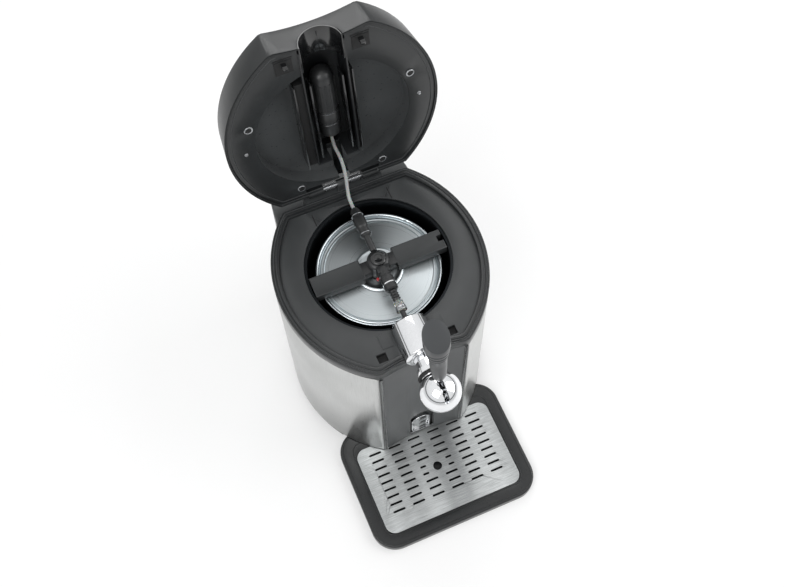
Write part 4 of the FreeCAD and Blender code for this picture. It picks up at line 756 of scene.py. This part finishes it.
@dataclass
class Cabinet:
    """Barrel, plinth, panel, rim and deck."""

    shop: Workshop
    # The front panel's and the rim's finishes carry painted highlight and painted shade
    plastics: tuple[tuple[str, Finish], ...] = (
        ("base_plate", CHARCOAL_ABS), ("barrel_shell", CHARCOAL_ABS), ("front_panel", PANEL_ABS_PAINTED_LIGHT),
        ("top_rim", RIM_ABS_PAINTED_SHADE), ("deck_plate", CHARCOAL_ABS))
    rim_land_mm: float = 308.6
    rim_bead_mm: float = 308.9
    rim_inset_mm: float = 3.4
    hook_across_mm: float = 47.5
    edge_across_mm: float = 58.7
    seam_across_mm: float = 54.0

    def build(self) -> None:
        """Dress the cabinet's pieces."""
        for node, finish in self.plastics:
            copy = self.shop.refine(node, "housing", finish, 0.5)
            if node == "top_rim":
                self.rim_bead(copy)
        self.deck_details()
        for side, _ in SIDES:
            self.shop.refine(f"side_skin_{side}", "housing", SKIN_STEEL, 0.2)
        self.shop.refine("rubber_feet", "housing", RUBBER, 0.3)
        self.shop.refine("rear_housing", "housing", CHARCOAL_ABS, 0.6)
        self.shop.refine("power_inlet", "housing", GLOSS_ABS, 0.3)
        self.shop.refine("foam_insulation", "housing", FOAM, 0.0)
        LOG.info("cabinet dressed")

    def rim_bead(self, rim: bpy.types.Object) -> None:
        """Run a thin bead round the rim's top, inside its outer edge."""
        land = [Vector((vertex.co.x, vertex.co.y)) for vertex in rim.data.vertices
                if vertex.co.z > self.rim_land_mm * MM]
        line = [Vector((point.x, point.y, self.rim_bead_mm * MM))
                for point in inside(land, Vector((0, SHIFT * MM)), self.rim_inset_mm)]
        self.shop.fit(bead("rim_bead", line, 0.7, True), CHARCOAL_ABS, "housing", angle=60)

    def deck_details(self) -> None:
        """Set the hook cups, the tap's cover plates, the panel's edge strips and the deck's seams; the cups and
        seams are painted dead black as shade.
        """
        for side, way in SIDES:
            x = way * self.hook_across_mm
            cup = board(f"hook_cup_{side}", (x - 7.2, -128.7, 296), (x + 7.2, -115.3, 301.6), 0.9, -4.5, 0.2)
            self.fix(cup, POCKET_PAINTED_SHADE)
        for side, low, high in (("left", -43.0, -26.5), ("right", 26.5, 43.0)):
            plate = board(f"tap_cover_{side}", (low, -112.5, 304.4), (high, -91.5, 305.5), 0.8, 0.25, 0.25)
            self.fix(plate, CHARCOAL_ABS)
        for side, way in SIDES:
            edge = board(f"panel_edge_{side}", (-2.3, -137.5, 0), (2.3, 137.5, 1.1), 0.9, -0.4, 0.25)
            carry(edge, Vector((way * self.edge_across_mm, -144.0, 154.5)) * MM, TO_FRONT)
            self.fix(edge, GLOSS_ABS)
            seam = board(f"deck_seam_{side}", (-0.7, -9.5, 304.1), (0.7, 9.5, 305.0), 0.1, -0.1, 0.05)
            carry(seam, Vector((way * self.seam_across_mm, 96.0, 0)) * MM, UPRIGHT)
            self.fix(seam, POCKET_PAINTED_SHADE)

    def fix(self, piece: bpy.types.Object, finish: Finish) -> None:
        """Shift a piece from the barrel's axis to the frame and fix it to the housing."""
        carry(piece, at(0, 0, 0), UPRIGHT)
        self.shop.fit(piece, finish, "housing")


@dataclass
class Controls:
    """Bezel, ring, lens and buttons on the panel's foot."""

    shop: Workshop
    face_share: float = 0.82
    face_shift_mm: Point = (-1.6, 0, 4.4)

    def build(self) -> None:
        """Dress the controls, with the ring and lens drawn in so that the bezel shows round them."""
        self.shop.refine("control_bezel", "housing", GLOSS_ABS, 0.3)
        smaller = Matrix.Diagonal((self.face_share, 1.0, self.face_share, 1.0))
        for node, finish in (("control_ring", CHROME), ("control_face", LENS_ACRYLIC)):
            copy = self.shop.refine(node, "housing", finish, 0.3)
            copy.data.transform(Matrix.Translation(Vector(self.face_shift_mm) * MM) @ smaller)
        for node in ("button_down", "button_up", "button_power"):
            self.shop.refine(node, node, GLOSS_ABS, 0.6)
        LOG.info("controls dressed")


@dataclass
class KegAndCoupler:
    """Well, keg and the tapping head with its fittings."""

    shop: Workshop
    keg_offset_mm: float = 4.4
    top_sheet: Profile = (
        (79.2, 283.2), (79.0, 285.4), (77.8, 286.0), (76.6, 283.9), (74.8, 283.6), (74.0, 285.2),
        (72.6, 285.4), (71.6, 283.6), (44.0, 284.2), (33.5, 284.8), (32.4, 286.4), (30.6, 287.6),
        (28.6, 287.6), (27.2, 286.4), (22.0, 286.2), (15.6, 286.2))
    beer_line_start_mm: float = -9.0
    coupling: Profile = (
        (7.0, 0.0), (8.6, 0.6), (8.8, 11.0), (7.8, 12.0), (7.8, 13.2), (8.8, 14.2), (8.8, 22.0),
        (8.0, 22.6), (8.0, 25.4), (9.0, 26.0), (8.8, 32.5), (6.8, 34.0))
    ring: Profile = ((8.1, 22.8), (9.0, 23.2), (9.0, 24.8), (8.1, 25.2))
    barbs: Profile = ((4.2, 33.0), *((5.8 if step % 2 else 4.4, 34.0 + 1.9 * step) for step in range(9)),
                      (4.2, 50.5))
    cuff: Profile = ((4.0, 50.0), *((7.0 if step % 2 else 5.4, 51.0 + 1.5 * step) for step in range(10)),
                     (4.0, 65.4))
    tail: Profile = ((3.3, 64.0), (3.3, 76.0), (3.3, 84.0), (3.2, 84.2))
    marker_shape: Profile = ((1.7, 303.0), (2.0, 303.6), (2.0, 305.6), (1.4, 306.2))
    arm_ends_mm: tuple[float, float] = (23.0, 92.0)
    notch_mm: Point = (92.0, 7.0, 298.0)
    notch_size_mm: Point = (14.0, 9.0, 30.0)

    def build(self) -> None:
        """Dress the well, the keg and the coupler."""
        # The well's finish is painted dark as shade
        self.shop.refine("keg_well", "housing", WELL_ALUMINIUM_PAINTED_SHADE, 0.3)
        self.shop.refine("keg_shell", "housing", TINPLATE, 0.3)
        self.shop.refine("keg_valve", "housing", RUBBER, 0.3)
        self.shop.refine("keg_pad", "housing", RUBBER, 0.3)
        for node in ("coupler_hub", "gas_connector"):
            self.shop.refine(node, "housing", BLACK_NYLON, 0.7)
        self.keg_top()
        self.arms()
        self.marker()
        self.shop.refine("coupler_cap", "housing", GLOSS_ABS, 0.4)
        self.beer_line()
        self.shop.refine("spear_tube", "housing", BEER_TUBE, 0.0)
        for node in ("connector_clips", "hose_clip"):
            self.shop.refine(node, "housing", ZINC_STEEL, 0.2)
        LOG.info("keg and coupler dressed")

    def beer_line(self) -> None:
        """Turn the coupling, its bright ring, the barbs, the ribbed cuff and the thin tube behind the tap."""
        for name, profile, finish, node in (("beer_coupling", self.coupling, BLACK_NYLON, "beer_fitting"),
                                            ("coupling_ring", self.ring, CHROME, None),
                                            ("beer_barbs", self.barbs, BLACK_NYLON, None),
                                            ("ribbed_cuff", self.cuff, BEER_TUBE, "beer_tube"),
                                            ("beer_tail", self.tail, BLACK_NYLON, None)):
            piece = turned(name, profile, 40)
            carry(piece, at(0, self.beer_line_start_mm, TAP_HEIGHT), TO_FRONT)
            self.shop.fit(piece, finish, "housing", node)

    def keg_top(self) -> None:
        """Press the keg's top sheet with its two beads and the raised seat of the valve."""
        sheet = turned("keg_top_sheet", self.top_sheet, 96, capped=False)
        carry(sheet, at(0, self.keg_offset_mm, 0), UPRIGHT)
        self.shop.fit(sheet, SPUN_TINPLATE, "housing", angle=50)

    def arms(self) -> None:
        """Mould the coupler's two flat arms, the right one with its latch notch."""
        for side, way in SIDES:
            low, high = sorted(way * end for end in self.arm_ends_mm)
            arm = board(f"coupler_arm_{side}_board", (low, -9.6, 289.3), (high, 19.4, 302.6), 1.6, -0.35, 0.5)
            if side == "right":
                self.cut_notch(arm)
            carry(arm, at(0, 0, 0), UPRIGHT)
            # The arms' nylon is painted greyer as a highlight
            self.shop.fit(arm, ARM_NYLON_PAINTED_LIGHT, "housing", f"coupler_arm_{side}")

    def cut_notch(self, arm: bpy.types.Object) -> None:
        """Cut the latch notch into an arm's end."""
        deselect()
        bpy.ops.mesh.primitive_cube_add(size=1.0, location=Vector(self.notch_mm) * MM,
                                        scale=Vector(self.notch_size_mm) * MM)
        cutter = bpy.context.object
        notch = arm.modifiers.new("notch", "BOOLEAN")
        notch.object = cutter
        notch.solver = "EXACT"
        only(arm)
        bpy.ops.object.modifier_apply(modifier="notch")
        bpy.data.objects.remove(cutter)

    def marker(self) -> None:
        """Set the small red lock marker beside the hub."""
        dot = turned("lock_marker", self.marker_shape, 20)
        carry(dot, at(-10.0, -18.0, 0), UPRIGHT)
        self.shop.fit(dot, MARKER_ACETAL, "housing")


@dataclass
class Tap:
    """Chromed tap with its lever and black handle."""

    shop: Workshop
    grip: Profile = (
        (3.2, 34.6), (5.6, 35.4), (7.4, 38.5), (8.8, 44.0), (10.0, 56.0), (10.9, 74.0), (11.5, 88.0),
        (12.4, 90.0), (11.9, 91.2), (11.9, 92.0), (13.2, 93.4), (13.7, 96.5), (12.9, 97.8), (12.9, 98.6),
        (14.3, 100.0), (14.8, 104.0), (14.0, 105.4), (14.0, 106.2), (15.6, 107.8), (16.2, 112.0),
        (16.3, 122.0), (16.3, 150.0))
    head_mm: float = 130.5
    head_slant: float = 37.0

    def build(self) -> None:
        """Dress the tap."""
        for node in ("tap_barrel", "tap_neck", "tap_ball", "tap_pivot_pin", "tap_spout"):
            self.shop.refine(node, "housing", CHROME, 0.4)
        self.shop.refine("tap_washer", "housing", RUBBER, 0.4)
        self.shop.refine("tap_lever", "tap_lever_group", CHROME, 0.2)
        self.handle()
        LOG.info("tap dressed")

    def handle(self) -> None:
        """Turn the handle with its three rings and cut its slanted head."""
        grip = turned("tap_grip", self.grip, 72)
        only(grip)
        bpy.ops.object.mode_set(mode="EDIT")
        bpy.ops.mesh.select_all(action="SELECT")
        slant = math.radians(self.head_slant)
        bpy.ops.mesh.bisect(plane_co=(0, 0, self.head_mm * MM), plane_no=(0, -math.sin(slant), math.cos(slant)),
                            use_fill=True, clear_outer=True)
        bpy.ops.object.mode_set(mode="OBJECT")
        round_edges(grip, 0.9, 3, 38.0)
        carry(grip, at(0, -BALL_REACH, TAP_HEIGHT), LEVER_TURN)
        self.shop.fit(grip, HANDLE_ABS, "tap_lever_group", "tap_handle")


@dataclass
class DripTray:
    """Black tray with its slotted steel grille."""

    shop: Workshop
    half_width_mm: float = 126.0
    rear_mm: float = -101.0
    front_mm: float = -286.0
    bead_height_mm: float = 13.5
    # Each bead's name, its distance from the tray's edge and the radius of its corners
    beads: tuple[tuple[str, float, float], ...] = (("outer", 4.2, 26.0), ("inner", 18.6, 15.0))

    def build(self) -> None:
        """Dress the tray and grille."""
        self.shop.refine("drip_tray", "tray", TRAY_ABS, 0.5)
        for name, inset, radius in self.beads:
            self.run_bead(name, inset, radius)
        self.shop.refine("drip_grille", "tray", GRILLE_STEEL, 0.35, 0.0)
        LOG.info("tray dressed")

    def run_bead(self, name: str, inset: float, radius: float) -> None:
        """Run a bead from the tray's left rear corner round its front to the right rear corner.

        Args:
            name: Which bead it is.
            inset: Its distance from the tray's edge in millimetres.
            radius: Radius of its corners in millimetres.
        """
        across = self.half_width_mm - inset - radius
        rear = self.rear_mm - inset - radius
        front = self.front_mm + inset + radius
        line = []
        for quarter, x, y in ((1, -across, rear), (2, -across, front), (3, across, front), (0, across, rear)):
            for part in range(9):
                turn = math.radians(90 * quarter + 11.25 * part)
                line.append(at(x + radius * math.cos(turn), y + radius * math.sin(turn), self.bead_height_mm))
        self.shop.fit(bead(f"tray_bead_{name}", line, 0.8, False), TRAY_ABS, "tray", angle=60)


@dataclass
class Lid:
    """Open lid with its liner, cartridge bay and gas parts."""

    shop: Workshop
    pin: Profile = ((2.4, 0.0), (2.4, 0.8), (1.8, 1.3), (1.6, 2.6), (1.1, 3.0))
    pin_across_mm: float = 115.0
    screw_ring: Profile = ((3.8, 0.0), (5.4, 0.0), (5.6, 0.8), (5.0, 1.3), (3.9, 1.0), (3.8, 0.1))
    screws_mm: Profile = ((-105, -38), (105, -38), (-57, 101), (57, 101))
    bottle_mm: Point = (0, -76.0, 15.6)
    sleeve: Profile = (
        (2.0, 3.0), (6.5, 3.8), (10.5, 6.2), (13.2, 10.0), (14.6, 15.0), (15.0, 21.0), (15.2, 64.0),
        (15.2, 67.0), (14.4, 67.6), (14.4, 70.0))
    flute_step: float = 7.5
    cup: Profile = (
        (13.6, 70.2), (15.0, 70.6), (15.4, 71.4), (15.4, 88.5), (14.6, 89.2), (14.6, 90.6), (15.4, 91.4),
        (15.4, 109.0), (13.4, 113.0), (8.0, 115.5), (5.2, 117.0), (4.0, 120.0), (4.0, 122.0))
    bands_mm: tuple[float, float] = (69.4, 89.3)
    rail_across_mm: float = 20.5
    flanges_mm: tuple[float, float] = (-41.0, 33.0)
    filler_across_mm: float = 28.6
    hook_across_mm: float = 47.5

    def build(self) -> None:
        """Dress the lid and what it carries."""
        # Shell and liner take the lid's ABS with its painted shade
        self.shop.refine("lid_shell", "lid", LID_ABS_PAINTED_SHADE, 0.6)
        liner = self.shop.refine("lid_liner", "lid", LID_ABS_PAINTED_SHADE, 0.4)
        self.line_dish(liner)
        self.lid_bead(liner)
        self.pins()
        self.shop.refine("cartridge_bay", "lid", BAY_ABS, 0.4)
        self.shop.refine("arch_liner", "lid", GLOSS_ABS, 0.3)
        self.shop.refine("regulator_saddle", "lid", BAY_ABS, 0.4)
        self.cartridge()
        self.rails()
        self.hook_pockets()
        self.shop.refine("lid_hooks", "lid", GLOSS_ABS, 0.3)
        self.shop.refine("gas_cartridge", "lid", ZINC_STEEL, 0.2)
        self.sink_screws(self.shop.refine("lid_screws", "lid", ZINC_STEEL, 0.4))
        self.shop.refine("hinge_bracket", "housing", CHARCOAL_ABS, 0.5)
        self.shop.refine("hinge_pin", "housing", ZINC_STEEL, 0.2)
        self.shop.refine("hinge_springs", "housing", ZINC_STEEL, 0.0)
        LOG.info("lid dressed")

    def mount(self, piece: bpy.types.Object, finish: Finish, place: Vector, turn: Matrix,
              node: str | None = None) -> None:
        """Set a piece on the closed lid, open it with the lid and fix it there.

        Args:
            piece: The piece, upright at the origin.
            finish: Its finish.
            place: Its place on the closed lid, in metres from the hinge.
            turn: How it is turned there.
            node: The CAD node that it stands in for, if any.
        """
        carry(piece, place, turn)
        carry(piece, HINGE_LINE, LID_TURN)
        self.shop.fit(piece, finish, "lid", node)

    def lid_bead(self, liner: bpy.types.Object) -> None:
        """Run a bead round the liner inside the lid's edge, from one side of the arch to the other."""
        back = LID_TURN.inverted()
        shut = [back @ (vertex.co - HINGE_LINE) for vertex in liner.data.vertices]
        edge = [Vector((point.x, point.y)) for point in shut if point.z < -7.9 * MM]
        middle = Vector((0, -HINGE_REACH * MM))
        line = sorted(inside(edge, middle, 5.0),
                      key=lambda place: math.atan2(place.x - middle.x, place.y - middle.y))
        points = [LID_TURN @ Vector((place.x, place.y, -8.3 * MM)) + HINGE_LINE for place in line]
        self.shop.fit(bead("lid_bead", points, 0.6, False), CHARCOAL_ABS, "lid", angle=60)

    def line_dish(self, liner: bpy.types.Object) -> None:
        """Give the dish's floor and wall their smoother finish, painted lighter as a painted highlight."""
        liner.data.materials.append(self.shop.finish(DISH_ABS_PAINTED_LIGHT))
        back = LID_TURN.inverted()
        for face in liner.data.polygons:
            if (back @ (face.center - HINGE_LINE)).z > -6.0 * MM:
                face.material_index = 1

    def sink_screws(self, screws: bpy.types.Object) -> None:
        """Paint the recessed heads of the screws dead black as shade and leave their rims bright."""
        screws.data.materials.append(self.shop.finish(POCKET_PAINTED_SHADE))
        facing = LID_TURN @ Vector((0, 0, -1))
        for face in screws.data.polygons:
            if face.normal.dot(facing) > 0.95:
                face.material_index = 1

    def pins(self) -> None:
        """Set the small guide pins beside the dish and the bright rings round the screws."""
        for side, way in SIDES:
            pin = turned(f"lid_pin_{side}", self.pin, 20)
            self.mount(pin, ZINC_STEEL, in_lid(way * self.pin_across_mm, 2.0, -8.0), FLIPPED)
        for number, (x, y) in enumerate(self.screws_mm):
            ring = turned(f"screw_ring_{number}", self.screw_ring, 32, capped=False)
            self.mount(ring, ZINC_STEEL, in_lid(x, y, -8.2), FLIPPED)

    def cartridge(self) -> None:
        """Turn the fluted cartridge sleeve, the ringed regulator cup behind it and the bright bands."""
        sleeve = turned("sleeve_fluted", self.sleeve, 48)
        step = math.radians(self.flute_step)
        pick(sleeve, lambda face: 20 * MM < face.center.z < 64.5 * MM
             and round(math.atan2(face.center.y, face.center.x) / step - 0.5) % 3 == 0)
        bpy.ops.mesh.extrude_region_shrink_fatten(TRANSFORM_OT_shrink_fatten={"value": 0.7 * MM})
        bpy.ops.object.mode_set(mode="OBJECT")
        cup = turned("regulator_cup", self.cup, 64)
        place = in_lid(*self.bottle_mm)
        for number, foot in enumerate(self.bands_mm):
            band = turned(f"cartridge_band_{number}", ((14.8, foot), (15.7, foot + 0.3), (15.7, foot + 0.9),
                                                       (14.8, foot + 1.2)), 64)
            self.mount(band, ZINC_STEEL, place, TO_REAR)
        self.mount(sleeve, BLACK_NYLON, place, TO_REAR, "cartridge_sleeve")
        self.mount(cup, BLACK_NYLON, place, TO_REAR, "gas_regulator")

    def rails(self) -> None:
        """Line the bay with its guide rails, and set the flanges and the fillers beside it, painted dead black
        as shade.
        """
        for (side, way), flange_x in zip(SIDES, self.flanges_mm):
            rail = board(f"bay_rail_{side}", (-1.1, -73.0, -8.0), (1.1, 58.0, 8.0), 0.4, 0.4, 0.3)
            self.mount(rail, GLOSS_ABS, in_lid(way * self.rail_across_mm, 0, 0), UPRIGHT)
            flange = board(f"bay_flange_{side}", (-0.8, -79.0, -9.2), (0.8, 70.0, 11.0), 0.3, 0.3, 0.3)
            self.mount(flange, GLOSS_ABS, in_lid(flange_x, 0, 0), UPRIGHT)
            low, high = sorted((flange_x - way * 0.9, way * self.filler_across_mm))
            filler = board(f"bay_filler_{side}", (low, -78.0, -4.0), (high, 69.0, 10.8), 0.5, 0.3, 0.3)
            self.mount(filler, POCKET_PAINTED_SHADE, in_lid(0, 0, 0), UPRIGHT)

    def hook_pockets(self) -> None:
        """Sink the pockets round the two lid hooks, and the slots before them, painted dead black as shade."""
        for side, way in SIDES:
            x = way * self.hook_across_mm
            pocket = board(f"hook_pocket_{side}", (x - 11, -127.5, 8.4), (x + 11, -107.5, 8.9), 0.8, 0.4, 0.2)
            slot = board(f"hook_slot_{side}", (x - 12, -130.6, 8.2), (x + 12, -129.0, 8.7), 0.3, 0.1, 0.1)
            for piece in (pocket, slot):
                self.mount(piece, POCKET_PAINTED_SHADE, in_lid(0, 0, 0), FLIPPED)


@dataclass
class Cooler:
    """Thermoelectric cooler, heat sink and fan behind the barrel."""

    shop: Workshop

    def build(self) -> None:
        """Dress the cooler."""
        self.shop.refine("cold_block", "housing", RAW_ALUMINIUM, 0.3)
        self.shop.refine("peltier_module", "housing", CERAMIC, 0.2)
        self.shop.refine("heat_sink", "housing", RAW_ALUMINIUM, 0.1)
        self.shop.refine("fan_frame", "housing", BLACK_NYLON, 0.4)
        self.shop.refine("fan_rotor", "fan", BLACK_NYLON, 0.3)
        LOG.info("cooler dressed")


def main() -> None:
    """Build the scene's classes in order."""
    logging.basicConfig(level=logging.INFO, format="%(message)s")
    deselect()
    shop = Workshop()
    Studio().build()
    GasHose(shop).build()
    for group in (Cabinet, Controls, KegAndCoupler, Tap, DripTray, Lid, Cooler):
        group(shop).build()


if __name__ == "__main__":
    main()
